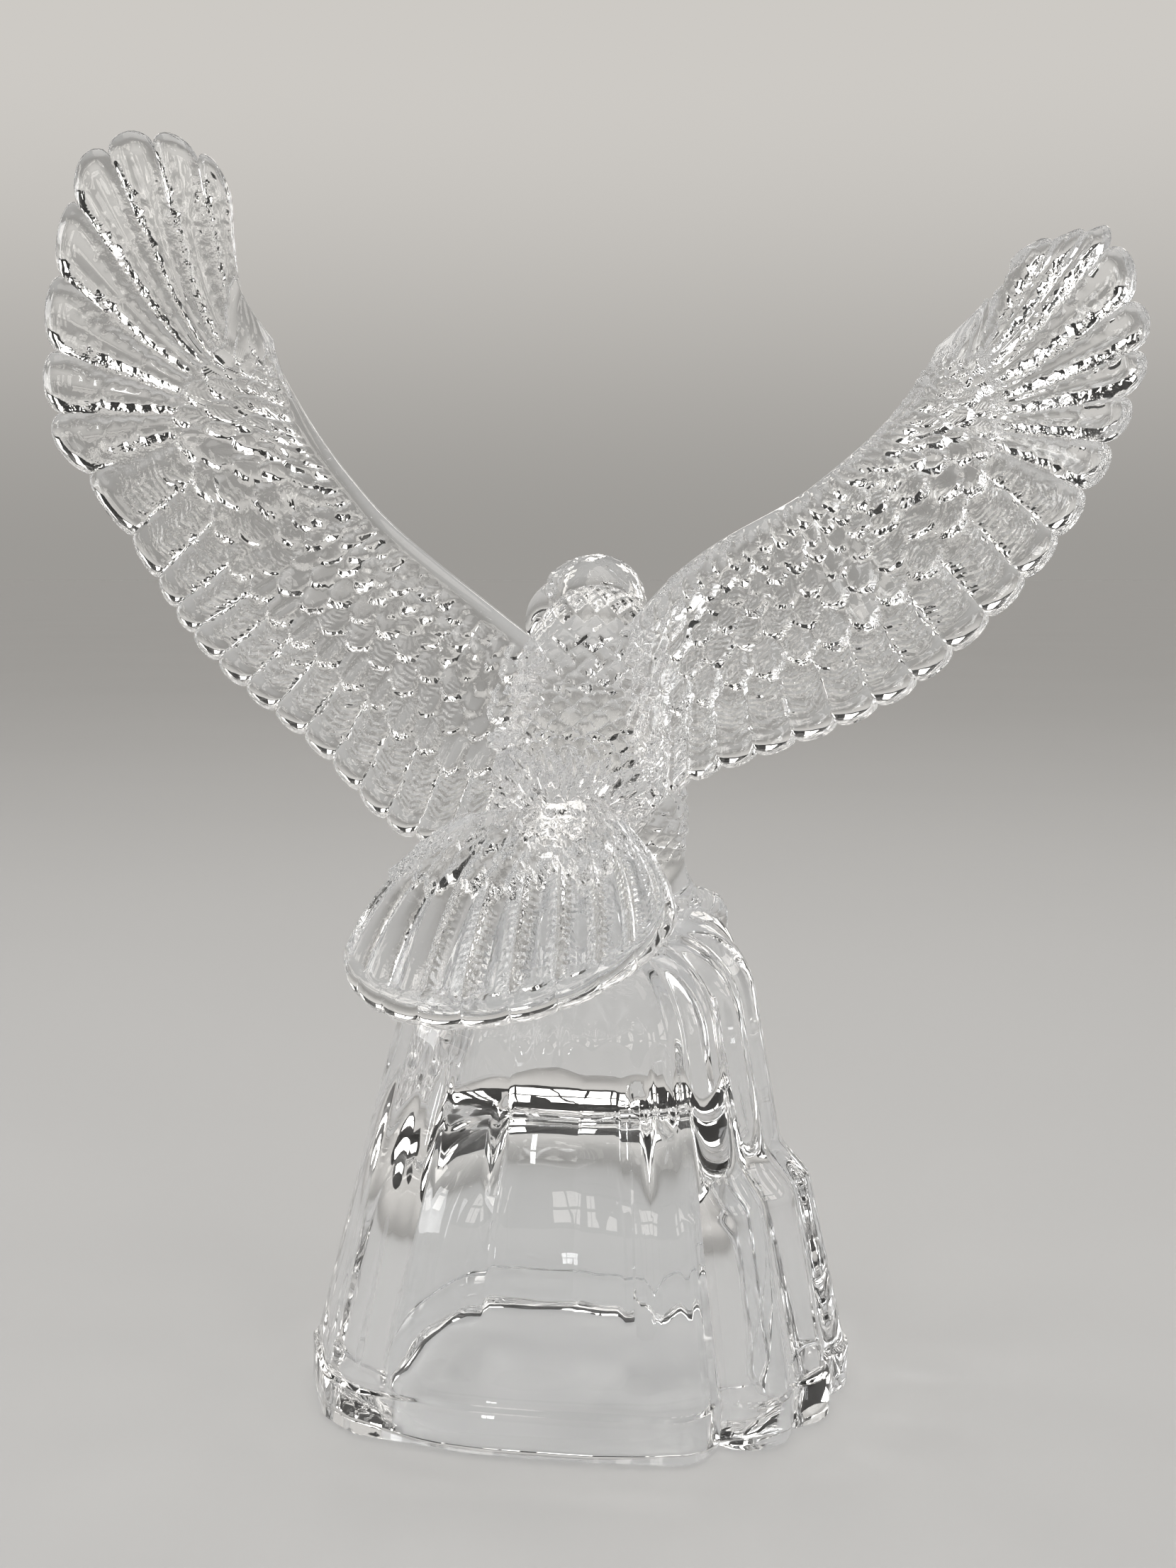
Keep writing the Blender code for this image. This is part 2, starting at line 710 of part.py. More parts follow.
def bottom_middle(made):
    """Middle of the finished solid's box, at its lowest height."""
    graph = bpy.context.evaluated_depsgraph_get()
    mesh = made.evaluated_get(graph).to_mesh()
    points = np.array([vertex.co for vertex in mesh.vertices])
    low = points.min(axis=0)
    high = points.max(axis=0)
    return np.array([(low[0] + high[0]) / 2, (low[1] + high[1]) / 2, low[2]])


def main():
    clear_scene()
    statue = make_rock("crystal_eagle")
    hollow = make_cavity("rock_hollow")
    pieces = [egg("stump", STUMP["place"], STUMP["radii"])]
    pieces.append(make_body("body"))
    pieces += make_leg("left_leg", 1)
    pieces += make_leg("right_leg", -1)
    pieces += make_head("head")
    pieces.append(make_tail("tail"))
    pieces.append(make_wing("left_wing", LEFT_WING))
    pieces.append(make_wing("right_wing", RIGHT_WING))
    join_all(statue, pieces)
    cut(statue, hollow)
    statue.data.materials.append(crystal_material())
    bpy.context.view_layer.update()
    origin = bottom_middle(statue)
    for made in [statue, hollow, *pieces]:
        made.data.transform(Matrix.Translation([float(-value) for value in origin]))


main()
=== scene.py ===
import math

import bmesh
import bpy
import numpy as np
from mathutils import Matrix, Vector


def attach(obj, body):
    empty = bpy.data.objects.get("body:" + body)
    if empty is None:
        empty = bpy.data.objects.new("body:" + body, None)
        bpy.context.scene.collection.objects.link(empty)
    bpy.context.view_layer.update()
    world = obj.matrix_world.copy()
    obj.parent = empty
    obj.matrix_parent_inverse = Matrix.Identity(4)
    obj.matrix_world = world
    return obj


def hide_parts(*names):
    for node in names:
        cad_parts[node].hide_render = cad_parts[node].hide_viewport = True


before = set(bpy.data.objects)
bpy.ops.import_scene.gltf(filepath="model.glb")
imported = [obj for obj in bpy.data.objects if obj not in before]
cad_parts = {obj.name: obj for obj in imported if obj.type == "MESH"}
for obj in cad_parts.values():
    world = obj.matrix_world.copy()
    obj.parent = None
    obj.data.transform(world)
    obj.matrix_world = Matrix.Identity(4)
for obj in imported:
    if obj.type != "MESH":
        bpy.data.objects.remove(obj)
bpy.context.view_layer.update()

# Pressed crystal eagle on a fluted rock. Metres, +Z up, the eagle looks towards -Y.
# Places on the eagle are hundredths of its height above the rock top, as in the part's source.

statue = {
    "height": 0.264,
    "rockHeight": 0.098,
    "middle": (0.003403, 0.002962, 0.0),  # from the rock's axis to the middle of the whole box
    "crispAngle": 62,
}


def unit(vectors):
    lengths = np.linalg.norm(vectors, axis=-1, keepdims=True)
    return vectors / np.maximum(lengths, 1e-12)


def ease(value, start, end):
    share = np.clip((np.asarray(value, float) - start) / (end - start), 0, 1)
    return share * share * (3 - 2 * share)


def bell(value, middle, width):
    return np.exp(-(((np.asarray(value, float) - middle) / width) ** 2))


def roundOver(share):
    share = np.clip(share, 0, 1)
    return 1 - np.sqrt(1 - share * share)


def hermite(share, start, end, startSlope, endSlope):
    square = share * share
    cube = square * share
    return (
        (2 * cube - 3 * square + 1) * start
        + (cube - 2 * square + share) * startSlope
        + (3 * square - 2 * cube) * end
        + (cube - square) * endSlope
    )


def through(stations, at):
    # smooth curve through (number, place) stations that doesn't swing past them
    keys = np.array([number for number, _ in stations], float)
    values = np.array([place for _, place in stations], float)
    slopes = np.gradient(values, keys, axis=0)
    chords = np.diff(values, axis=0) / np.diff(keys)[:, None]
    gentler = np.minimum(np.abs(chords[:-1]), np.abs(chords[1:]))
    slopes[1:-1] = np.clip(slopes[1:-1], -3 * gentler, 3 * gentler)
    at = np.clip(np.asarray(at, float), keys[0], keys[-1])
    lower = np.clip(np.searchsorted(keys, at, side="right") - 1, 0, len(keys) - 2)
    span = keys[lower + 1] - keys[lower]
    share = ((at - keys[lower]) / span)[..., None]
    return hermite(
        share,
        values[lower],
        values[lower + 1],
        span[..., None] * slopes[lower],
        span[..., None] * slopes[lower + 1],
    )


def hundredth():
    return (statue["height"] - statue["rockHeight"]) / 100


def onEagle(shares):
    lift = np.array([0, 0, statue["rockHeight"]])
    return np.asarray(shares, float) * hundredth() + lift - np.array(statue["middle"])


def speckle(first, second, seed=0.0):
    # uneven but repeatable value between 0 and 1 for a pair of whole numbers
    mixed = np.sin(first * 12.9898 + second * 78.233 + seed * 37.719) * 43758.5453
    return mixed - np.floor(mixed)


def scaleRow(across, share, tip, length, row):
    # one row of round-tipped scales: their height from 0 to 1, and how far a point lies past the tips
    at = across + 0.5 * (row % 2)
    cell = np.floor(at)
    part = 2 * (at - cell) - 1
    past = (share - tip) / length - 0.3 * (speckle(cell, row) - 0.5) + 0.42 * part * part
    dome = np.sqrt(np.maximum(1 - 0.88 * part * part, 0))
    inside = 1 - ease(past, -0.08, 0.06)
    height = (0.3 + 0.7 * np.clip(1 + past, 0, 1)) * dome * inside
    return height * (0.8 + 0.4 * speckle(cell, row, 2)), past


def diamonds(across, along):
    # overlapping diamond scales: flat facets, each tilted its own way, with creases between
    first = across + along
    second = across - along
    column = np.floor(first)
    line = np.floor(second)
    first = first - column
    second = second - line
    tilt = (speckle(column, line) - 0.5) * (first - 0.5) + (speckle(column, line, 3) - 0.5) * (second - 0.5)
    edge = np.minimum(np.minimum(first, 1 - first), np.minimum(second, 1 - second))
    return (0.7 + 0.25 * (first - second) + 0.9 * tilt) * ease(edge, 0.0, 0.24)


plainMark = (-5.0, -5.0, 0.0, 0.0)


def makeMesh(name, points, faces, marks=None):
    # triangle mesh, turned outwards. Layer "carving" holds the feather number and centimetres along
    # it; layer "finish" holds how frosted and how barbed the glass is there
    mesh = bpy.data.meshes.new(name)
    mesh.from_pydata([tuple(point) for point in points], [], faces)
    net = bmesh.new()
    net.from_mesh(mesh)
    net.loops.layers.uv.new("carving")
    net.loops.layers.uv.new("finish")
    carving = net.loops.layers.uv["carving"]
    finish = net.loops.layers.uv["finish"]
    for face in net.faces:
        for loop in face.loops:
            mark = plainMark if marks is None else marks[loop.vert.index]
            loop[carving].uv = mark[:2]
            loop[finish].uv = mark[2:]
    bmesh.ops.triangulate(net, faces=net.faces)
    if net.calc_volume(signed=True) < 0:
        bmesh.ops.reverse_faces(net, faces=net.faces)
    net.to_mesh(mesh)
    net.free()
    made = bpy.data.objects.new(name, mesh)
    bpy.context.scene.collection.objects.link(made)
    return made


def closedTube(name, rings, marks=None):
    rings = np.asarray(rings)
    count = rings.shape[1]
    number = np.arange(len(rings) * count).reshape(-1, count)
    ahead = np.roll(number, -1, axis=1)
    corners = np.stack([number[:-1], ahead[:-1], ahead[1:], number[1:]], axis=-1).reshape(-1, 4)
    faces = [tuple(int(corner) for corner in face) for face in corners]
    faces.append(tuple(range(count))[::-1])
    faces.append(tuple(int(corner) for corner in number[-1]))
    return makeMesh(name, rings.reshape(-1, 3), faces, marks)


def sheet(name, upper, lower, marks):
    # closed sheet: the far side has half as many rows and columns and shares the border
    rows, columns = upper.shape[:2]
    points = list(upper.reshape(-1, 3))
    marking = [tuple(mark) for mark in marks.reshape(-1, 4)]
    number = np.arange(rows * columns).reshape(rows, columns)
    faces = []
    for row in range(rows - 1):
        for column in range(columns - 1):
            faces.append((
                int(number[row, column]),
                int(number[row + 1, column]),
                int(number[row + 1, column + 1]),
                int(number[row, column + 1]),
            ))
    beneath = number.copy()
    for row in range(2, rows - 1, 2):
        for column in range(2, columns - 1, 2):
            beneath[row, column] = len(points)
            points.append(lower[row, column])
            marking.append(plainMark)
    for row in range(0, rows - 1, 2):
        for column in range(0, columns - 1, 2):
            loop = [(row, column)]
            if column == 0:
                loop.append((row + 1, 0))
            loop.append((row + 2, column))
            if row + 2 == rows - 1:
                loop.append((row + 2, column + 1))
            loop.append((row + 2, column + 2))
            if column + 2 == columns - 1:
                loop.append((row + 1, column + 2))
            loop.append((row, column + 2))
            if row == 0:
                loop.append((0, column + 1))
            faces.append(tuple(int(beneath[spot]) for spot in loop[::-1]))
    return makeMesh(name, np.array(points), faces, marking)


def featherLines(count, fineCount, fineSteps, steps):
    lines = []
    for feather in range(count):
        cuts = fineSteps if feather < fineCount else steps
        lines += [feather + (1 - math.cos(math.pi * cut / cuts)) / 2 for cut in range(cuts)]
    return np.array(lines + [count])


def ribs(numbers):
    part = numbers - np.floor(numbers)
    return np.sqrt(np.maximum(1 - (2 * part - 1) ** 2, 0))


def rimRise(distance, reach):
    share = np.clip(1 - distance / reach, 0, 1)
    return np.sqrt(1 - share * share)


def outwardOf(middle, towards, steady):
    across = unit(np.gradient(middle, axis=0))
    along = unit(np.gradient(middle, axis=1))
    outward = np.cross(across, along)
    mean = unit(outward.sum(axis=(0, 1)))
    if mean @ np.array(towards) < 0:
        outward = -outward
        mean = -mean
    return unit(outward + steady * mean)


# Wings
wings = {
    "primaries": 8,
    "secondaries": 15,
    "hubReach": 8.2,
    "hubStretch": 0.9,
    "belly": 1.8,
    "steady": 0.5,
    "armThick": 0.0078,
    "tipThick": 0.0032,
    "primaryNotch": 0.0036,
    "secondaryNotch": 0.0016,
    "covertStep": 0.0010,
    "covertHeight": 0.0025,
    "ridgeHeight": 0.0009,  # bony ridge along the arm, and the small feathers of the wrist
    "grooveDepth": 0.0018,
    "panelDip": 0.0005,
    "rimHeight": 0.0013,
    "rimPlace": 0.0023,
    "rimWidth": 0.0017,
    "toothPitch": 0.0034,
    "nickPitch": 0.0046,
    "nickDepth": 0.0004,
    "lapHeight": 0.0010,
    "vaneHeight": 0.0004,
    "unevenHeight": 0.00035,
    "primarySteps": 13,
    "secondarySteps": 10,
    "handBorder": 0.5,
    # rows of covert scales: where the tips end on the way to the border, and scales to a feather
    "covertTips": (
        (0.17, 1.7),
        (0.27, 1.5),
        (0.38, 1.35),
        (0.50, 1.2),
        (0.64, 1.0),
        (0.81, 1.0),
        (1.0, 1.0),
    ),
}
leftWing = {
    "side": 1,
    "lead": (
        (0, (42.1, -3.7, 72.8)),
        (7, (34.0, -4.6, 60.5)),
        (12.5, (26.6, -4.8, 51.7)),
        (20, (10.0, -2.4, 38.9)),
        (23, (3.0, -3.6, 33.0)),
    ),
    "tips": (
        (0, (45.9, -2.6, 94.0)),
        (0.6, (48.4, -2.4, 97.2)),
        (2.5, (59.3, -1.2, 100.6)),
        (3.5, (64.6, 0.6, 97.2)),
        (4.5, (67.2, 2.4, 88.2)),
        (6.5, (68.4, 5.4, 69.0)),
        (7.5, (66.6, 6.2, 61.2)),
        (8.5, (59.4, 7.2, 52.6)),
        (12.5, (46.6, 9.0, 35.6)),
        (16.5, (31.3, 10.8, 23.4)),
        (20, (18.6, 12.0, 12.9)),
        (23, (6.5, 9.5, 14.5)),
    ),
    "wrist": (43.7, 1.2, 64.5),
    "plainBand": 0.09,
    "armBorder": 0.7,
    "ridgeRow": 0.24,
}
rightWing = {
    "side": -1,
    "lead": (
        (0, (43.5, 3.8, 69.5)),
        (7, (36.5, 2.6, 61.5)),
        (12.5, (28.2, 0.6, 54.6)),
        (20, (11.6, -1.2, 43.7)),
        (23, (4.0, -3.6, 35.0)),
    ),
    "tips": (
        (0, (50.6, 6.4, 79.4)),
        (0.6, (53.8, 7.8, 82.0)),
        (2.5, (59.9, 12.0, 82.4)),
        (4.5, (64.4, 16.9, 71.6)),
        (6.5, (62.5, 19.3, 61.2)),
        (8.5, (57.6, 18.1, 50.9)),
        (12.5, (43.3, 15.7, 34.2)),
        (20, (11.8, 8.4, 18.4)),
        (23, (6.5, 8.0, 13.0)),
    ),
    "wrist": (43.1, 6.0, 61.9),
    "plainBand": 0.035,
    "armBorder": 0.7,
    "ridgeRow": 0.12,
}


def wingRows():
    edge = 0.03 * (1 - np.cos(np.linspace(0, math.pi / 2, 5)))
    carved = np.linspace(0.03, 0.94, 74)[1:]
    rim = 1 - 0.06 * (1 - np.cos(np.linspace(math.pi / 2, 0, 8)))[1:]
    return np.concatenate([edge, carved, rim])


def wingMiddle(wing, numbers, rows):
    number, row = np.meshgrid(numbers, rows, indexing="ij")
    lead = through(wing["lead"], number)
    tip = through(wing["tips"], number)
    last = wings["primaries"]
    wrist = np.array(wing["wrist"], float)
    stretch = 1 + wings["hubStretch"] * (1 - ease(number, 0, 1.6))
    fanned = wrist + unit(tip - wrist) * wings["hubReach"] * stretch[..., None]
    halfway = (lead + tip) / 2
    halfway[..., 1] += wings["belly"]
    weight = 1 - ease(number, last - 0.5, last + 4)
    weight = (weight * (0.5 + 0.5 * ease(number, 0, 2.5)))[..., None]
    centre = fanned * weight + halfway * (1 - weight)
    innerRun = np.linalg.norm(centre - lead, axis=-1, keepdims=True)
    outerRun = np.linalg.norm(tip - centre, axis=-1, keepdims=True)
    change = ease(number, last - 1, last + 1.5)
    notch = wings["primaryNotch"] + (wings["secondaryNotch"] - wings["primaryNotch"]) * change
    dip = (1 - ribs(number)) * notch / (2 * outerRun[..., 0] * hundredth())
    along = (row - dip * row**4)[..., None]
    heading = unit(0.4 * unit(centre - lead) + 0.6 * unit(tip - centre)) * 0.8
    inner = hermite(2 * along, lead, centre, centre - lead, heading * innerRun)
    outer = hermite(2 * along - 1, centre, tip, heading * outerRun, tip - centre)
    middle = np.where(along < 0.5, inner, outer)
    middle[..., 0] *= wing["side"]
    return number, row, onEagle(middle), outerRun[..., 0] * hundredth()


def wingCarving(wing, number, row, width, run):
    # height of the carving in metres over the plain sheet, and how frosted and barbed it is
    last = wings["primaries"]
    part = number - np.floor(number)
    feather = np.floor(number)
    isPrimary = 1 - ease(number, last - 0.2, last + 0.8)
    beside = np.minimum(part, 1 - part) * width
    toTip = (1 - row) * 2 * run
    onArm = ease(number, last - 1, last + 3)
    border = wings["handBorder"] + (wing["armBorder"] - wings["handBorder"]) * onArm
    fromCoverts = (row - border) * 2 * run

    # rows of covert scales, finer towards the leading edge, with a smooth band along the edge
    along = row / border
    across = np.where(number < last - 1, 0.62 * number, number - 0.38 * (last - 1))
    scales = np.zeros(number.shape)
    edging = np.zeros(number.shape)
    before = 0.06
    for line, (tip, perFeather) in enumerate(wings["covertTips"]):
        height, past = scaleRow(across * perFeather, along, tip, tip - before + 0.07, line)
        scales = np.maximum(scales, height)
        edging = np.maximum(edging * (past > 0), bell(past, 0.03, 0.11))
        before = tip
    coverts = 1 - ease(past, -0.05, 0.07)
    smoothEdge = ease(row, wing["plainBand"], wing["plainBand"] + 0.035)
    handLobe = 1 - (1 - ease(number, 0.8, 2.0)) * (1 - ease(row, 0.36, 0.46))
    scaled = smoothEdge * handLobe
    raised = wings["covertStep"] + wings["covertHeight"] * (scales - 0.45) * scaled
    armRidge = wings["ridgeHeight"] * bell(row, wing["ridgeRow"], 0.05) * ease(number, 1, 5)
    alula = wings["ridgeHeight"] * bell(number, 1.1, 0.8) * bell(row, 0.24, 0.14)

    # primaries: smooth panels in a thick rounded rim, with broad nicked grooves between them
    toothNumber = fromCoverts / wings["toothPitch"]
    tooth = np.abs(((toothNumber + 0.37 * feather) % 1.0) * 2 - 1)
    tooth = tooth * (0.5 + speckle(np.floor(toothNumber), feather))
    grooveWidth = (0.22 + 0.16 * tooth * (1 - ease(row, 0.84, 0.92))) * width
    groove = 1 - ease(beside, 0.35 * grooveWidth, grooveWidth)
    panel = -wings["panelDip"] * ease(beside / np.maximum(width, 1e-6), 0.25, 0.45)
    toLobe = np.minimum(toTip, beside * 1.5 + 0.0006)
    rim = wings["rimHeight"] * bell(toLobe, wings["rimPlace"], wings["rimWidth"]) * ease(row, 0.78, 0.9)
    nickNumber = (fromCoverts + beside * 0.5) / wings["nickPitch"]
    nicks = wings["nickDepth"] * bell(nickNumber % 1.0, 0.5, 0.16)
    nicks = nicks * bell(feather, 1.0, 1.2) * ease(row, 0.72, 0.8) * (1 - ease(row, 0.88, 0.93))
    primary = panel + rim - wings["grooveDepth"] * groove - nicks * (beside > 0.2 * width)

    # secondaries: softly rounded backs, each lapping over the next, then a plain band
    ragged = 0.11 * (speckle(np.floor(fromCoverts / 0.0017), feather, 4) - 0.5) * (1 - ease(row, 0.88, 0.92))
    lap = wings["lapHeight"] * ((number + ragged) % 1.0 - 0.5)
    back = wings["vaneHeight"] * (ribs(number) - 0.75)
    barbed = ease(fromCoverts, 0.0, 0.002) * (1 - ease(row, 0.87, 0.92)) * ease(ribs(number), 0.3, 0.7)
    patch = np.floor(fromCoverts / 0.0024 + part * 1.5)
    uneven = wings["unevenHeight"] * (speckle(patch, feather, 3) - 0.5)
    secondary = lap + back + uneven * barbed + wings["vaneHeight"] * bell(toTip, 0.0022, 0.0014)

    vanes = primary * isPrimary + secondary * (1 - isPrimary)
    vanes = vanes * ease(fromCoverts, -0.001, 0.001) * (1 - ease(row, 0.955, 1.0))
    height = raised * coverts + armRidge + alula + vanes * (1 - coverts)
    grooved = groove * (1 - ease(row, 0.9, 0.96)) * isPrimary
    fringe = bell(past, 0.12, 0.16)
    barbedVanes = barbed * (1 - isPrimary) * (1 - coverts)
    frost = edging * scaled * coverts + grooved * (1 - coverts) + 0.35 * barbedVanes + fringe
    frost = np.clip(frost, 0, 1)
    barbs = barbedVanes + 0.35 * scaled * coverts * (speckle(np.floor(across), feather) > 0.4)
    return height, frost, barbs, fromCoverts


def makeWing(name, wing):
    feathers = wings["primaries"] + wings["secondaries"]
    numbers = featherLines(feathers, wings["primaries"], wings["primarySteps"], wings["secondarySteps"])
    number, row, middle, run = wingMiddle(wing, numbers, wingRows())
    outward = outwardOf(middle, (0, 1, 0.3), wings["steady"])
    width = np.linalg.norm(np.gradient(middle, axis=0), axis=-1)
    width = width / np.gradient(number, axis=0)
    usual = np.median(width[: len(numbers) // 2], axis=0)[None]
    width = 0.5 * np.repeat(usual, len(numbers), 0) + 0.5 * width
    hand = 1 - ease(number, wings["primaries"] - 2, feathers)
    thick = wings["armThick"] + (wings["tipThick"] - wings["armThick"]) * row**0.7
    thick = thick * (1 - 0.12 * hand)
    rim = rimRise(row, 0.06) * rimRise(1 - row, 0.06)
    rim = rim * rimRise(number, 0.32) * rimRise(feathers - number, 0.5)
    height, frost, barbs, fromCoverts = wingCarving(wing, number, row, width, run)
    above = thick / 2 + height
    below = thick / 2 + wings["vaneHeight"] * (ribs(number) - 0.6) * ease(row, 0.5, 0.6)
    upper = middle + outward * (above * rim)[..., None]
    lower = middle - outward * (below * rim)[..., None]
    marks = np.stack([number, fromCoverts * 100, frost * rim, barbs * rim], axis=-1)
    return sheet(name, upper, lower, marks)


# Tail fan
tail = {
    "feathers": 11,
    "steps": 12,
    "thick": 0.0050,
    "root": (3.0, 12.7, 17.0),
    "rootHalf": 6.8,
    "middle": (4.0, 27.1, 4.5),
    "side": (19.2, -1.0, -3.2),
    "drop": (1.0, 3.0, -9.6),
    "curl": 2.0,
    "bulge": 2.4,
    "arch": 2.2,
    "notch": 0.012,
    "covertsEnd": 0.46,
    # rows of covert scales: where the tips end on the way to the border, and scales to a feather
    "covertTips": ((0.36, 0.8), (0.54, 0.9), (0.70, 1.2), (0.85, 1.35), (1.0, 1.5)),
    "covertStep": 0.0006,
    "covertHeight": 0.0020,
    "ridge": 0.0017,
    "bandHeight": 0.0006,
}


def makeTail(name):
    numbers = featherLines(tail["feathers"], 0, 0, tail["steps"])
    rim = 1 - 0.07 * (1 - np.cos(np.linspace(math.pi / 2, 0, 8)))[1:]
    rows = np.concatenate([np.linspace(0, 0.93, 50), rim])
    number, row = np.meshgrid(numbers, rows, indexing="ij")
    angle = math.pi * number / tail["feathers"]
    cosine = np.cos(angle)
    sine = np.sin(angle)
    side = np.array(tail["side"])
    root = np.array(tail["root"]) + cosine[..., None] * unit(side) * tail["rootHalf"]
    end = np.array(tail["middle"]) + cosine[..., None] * side
    end = end + sine[..., None] * np.array(tail["drop"])
    end[..., 1] -= tail["curl"] * cosine**2
    along = row - tail["notch"] * (1 - ribs(number)) * row**4
    middle = root + (end - root) * along[..., None]
    swell = 4 * along * (1 - along)
    lift = swell * tail["arch"] * (0.4 + 0.6 * sine)
    middle[..., 0] += swell * tail["bulge"] * cosine
    middle[..., 1] += lift * 0.6
    middle[..., 2] += lift * 0.8
    middle = onEagle(middle)
    outward = outwardOf(middle, (0, 1, 0.6), wings["steady"])

    part = number - np.floor(number)
    feather = np.floor(number)
    beside = np.minimum(part, 1 - part)
    jagged = 0.03 * np.sin(number * 6.1) + 0.022 * np.sin(number * 17.0)
    border = tail["covertsEnd"] + 0.04 * np.sin(number * 2.6) + jagged
    scales = np.zeros(number.shape)
    edging = np.zeros(number.shape)
    before = 0.05
    for line, (tip, perFeather) in enumerate(tail["covertTips"]):
        height, past = scaleRow(number * perFeather, row / border, tip, tip - before + 0.1, line)
        scales = np.maximum(scales, height)
        edging = np.maximum(edging * (past > 0), bell(past, 0.03, 0.14))
        before = tip
    coverts = 1 - ease(past, -0.05, 0.07)
    # narrow grooves at the left, dished panels with fine ridges between them, leaves at the right
    fluted = 0.9 * tail["ridge"] * (ribs(number) - 0.7)
    ridged = tail["ridge"] * (bell(beside, 0.0, 0.07) - 0.35 * ease(beside, 0.1, 0.5))
    leaf = 0.8 * tail["ridge"] * (ribs(number) * np.sin(math.pi * np.clip((row - 0.4) / 0.52, 0, 1)) - 0.4)
    isFlute = 1 - ease(feather, 3.2, 3.8)
    isLeaf = ease(feather, 8.2, 8.8)
    vanes = fluted * isFlute + leaf * isLeaf + ridged * (1 - isFlute) * (1 - isLeaf)
    plain = 1 - ease(row, 0.87, 0.92)
    band = tail["bandHeight"] * ease(row, 0.88, 0.92)
    above = tail["thick"] / 2 + vanes * (1 - coverts) * plain + band
    above = above + (tail["covertStep"] + tail["covertHeight"] * scales) * coverts
    rise = rimRise(1 - row, 0.07) * rimRise(row, 0.1)
    rise = rise * rimRise(number, 0.45) * rimRise(tail["feathers"] - number, 0.45)
    upper = middle + outward * (above * rise)[..., None]
    lower = middle - outward * (tail["thick"] / 2 * rise)[..., None]
    grooved = bell(beside, 0.0, 0.14) * (1 - coverts) * plain
    frost = np.maximum((0.3 + edging) * coverts, 0.9 * grooved) * rise
    barbs = 0.8 * bell(beside, 0.16, 0.12) * (1 - coverts) * plain * (1 - isFlute) * rise
    marks = np.stack([number + 40, row * 4, frost, barbs], axis=-1)
    return sheet(name, upper, lower, marks)


# Body, from tail root to neck: back-to-front place, height, half width, half depth
body = {
    "backSides": 104,
    "bellySides": 24,
    "steps": 108,
    "stations": (
        (16.5, 13.5, 4.5, 2.5),
        (12.0, 16.0, 8.0, 5.0),
        (4.5, 18.8, 10.4, 8.4),
        (-1.5, 24.5, 11.0, 10.4),
        (-5.5, 31.0, 10.4, 9.8),
        (-8.8, 36.4, 8.2, 7.8),
        (-12.0, 39.6, 5.8, 5.6),
    ),
    "scalesAround": 20,
    "scaleRows": 13,
    "scaleHeight": 1.7,
    "creaseFrost": 0.5,
}


def makeBody(name):
    stations = body["stations"]
    steps = np.linspace(0, len(stations) - 1, body["steps"])
    spine = through(list(enumerate(stations)), steps)
    centres = np.stack([np.zeros(len(steps)), spine[:, 0], spine[:, 1]], axis=1)
    forward = unit(np.gradient(centres, axis=0))
    across = np.array([1.0, 0.0, 0.0])
    back = np.linspace(-0.2, math.pi + 0.2, body["backSides"], endpoint=False)
    belly = np.linspace(math.pi + 0.2, 2 * math.pi - 0.2, body["bellySides"], endpoint=False)
    turns = np.concatenate([back, belly])
    onBack = ease(np.sin(turns), -0.25, 0.05)
    rings = []
    marks = []
    for number, (centre, direction, row) in enumerate(zip(centres, forward, spine)):
        upright = np.cross(direction, across)
        share = number / (len(steps) - 1)
        cover = body["scaleHeight"] * ease(share, 0.0, 0.15) * (1 - 0.85 * ease(share, 0.62, 0.76))
        around = turns / (2 * math.pi) * body["scalesAround"]
        scales = diamonds(around, (1 - share) * body["scaleRows"])
        lift = (scales - 0.5) * cover * (0.1 + 0.9 * onBack)
        offset = np.cos(turns)[:, None] * across * (row[2] + lift)[:, None]
        offset = offset + np.sin(turns)[:, None] * upright * (row[3] + lift)[:, None]
        rings.append(onEagle(centre + offset))
        frost = body["creaseFrost"] * (1 - ease(scales, 0.2, 0.4)) * (1 - ease(share, 0.62, 0.76)) * onBack
        marks += [(80 + turn, share * 6, rough, 0.0) for turn, rough in zip(around, frost)]
    return closedTube(name, rings, marks)


def ovalRing(middle, first, second, turns):
    return middle + first * np.cos(turns)[:, None] + second * np.sin(turns)[:, None]


def egg(name, middle, radii, sides=32, rows=20):
    turns = np.linspace(0, 2 * math.pi, sides, endpoint=False)
    rings = []
    for turn in np.linspace(0, math.pi, rows + 1)[1:-1]:
        centre = np.array(middle, float) + np.array([0, 0, radii[2] * math.cos(turn)])
        first = np.array([radii[0] * math.sin(turn), 0, 0])
        second = np.array([0, radii[1] * math.sin(turn), 0])
        rings.append(onEagle(ovalRing(centre, first, second, turns)))
    return closedTube(name, rings)


# Neck, skull and hooked beak, turned towards the eagle's left: place, half width, half height
head = {
    "sides": 56,
    "steps": 76,
    "stations": (
        ((0.2, -11.5, 38.8), 6.2, 6.2),
        ((0.5, -14.0, 40.8), 6.1, 6.2),
        ((1.5, -16.6, 41.6), 6.0, 5.9),
        ((3.5, -18.7, 41.8), 5.6, 5.4),
        ((5.3, -20.4, 41.4), 4.4, 4.7),
        ((6.4, -21.4, 41.0), 2.7, 3.7),
        ((8.8, -23.3, 40.8), 2.2, 3.1),
        ((11.0, -25.0, 39.7), 1.6, 2.3),
        ((12.3, -26.0, 37.8), 1.0, 1.3),
        ((12.6, -26.3, 35.8), 0.3, 0.4),
    ),
    "eyeStation": 3,
    "eyeAside": 5.1,
    "eyeAbove": 1.0,
    "eyeRadius": 1.2,
    "scalesAround": 14,
    "scalesPerStation": 2.2,
    "scaleHeight": 0.3,
    "browHeight": 0.55,
    "gapeDepth": 0.35,
}


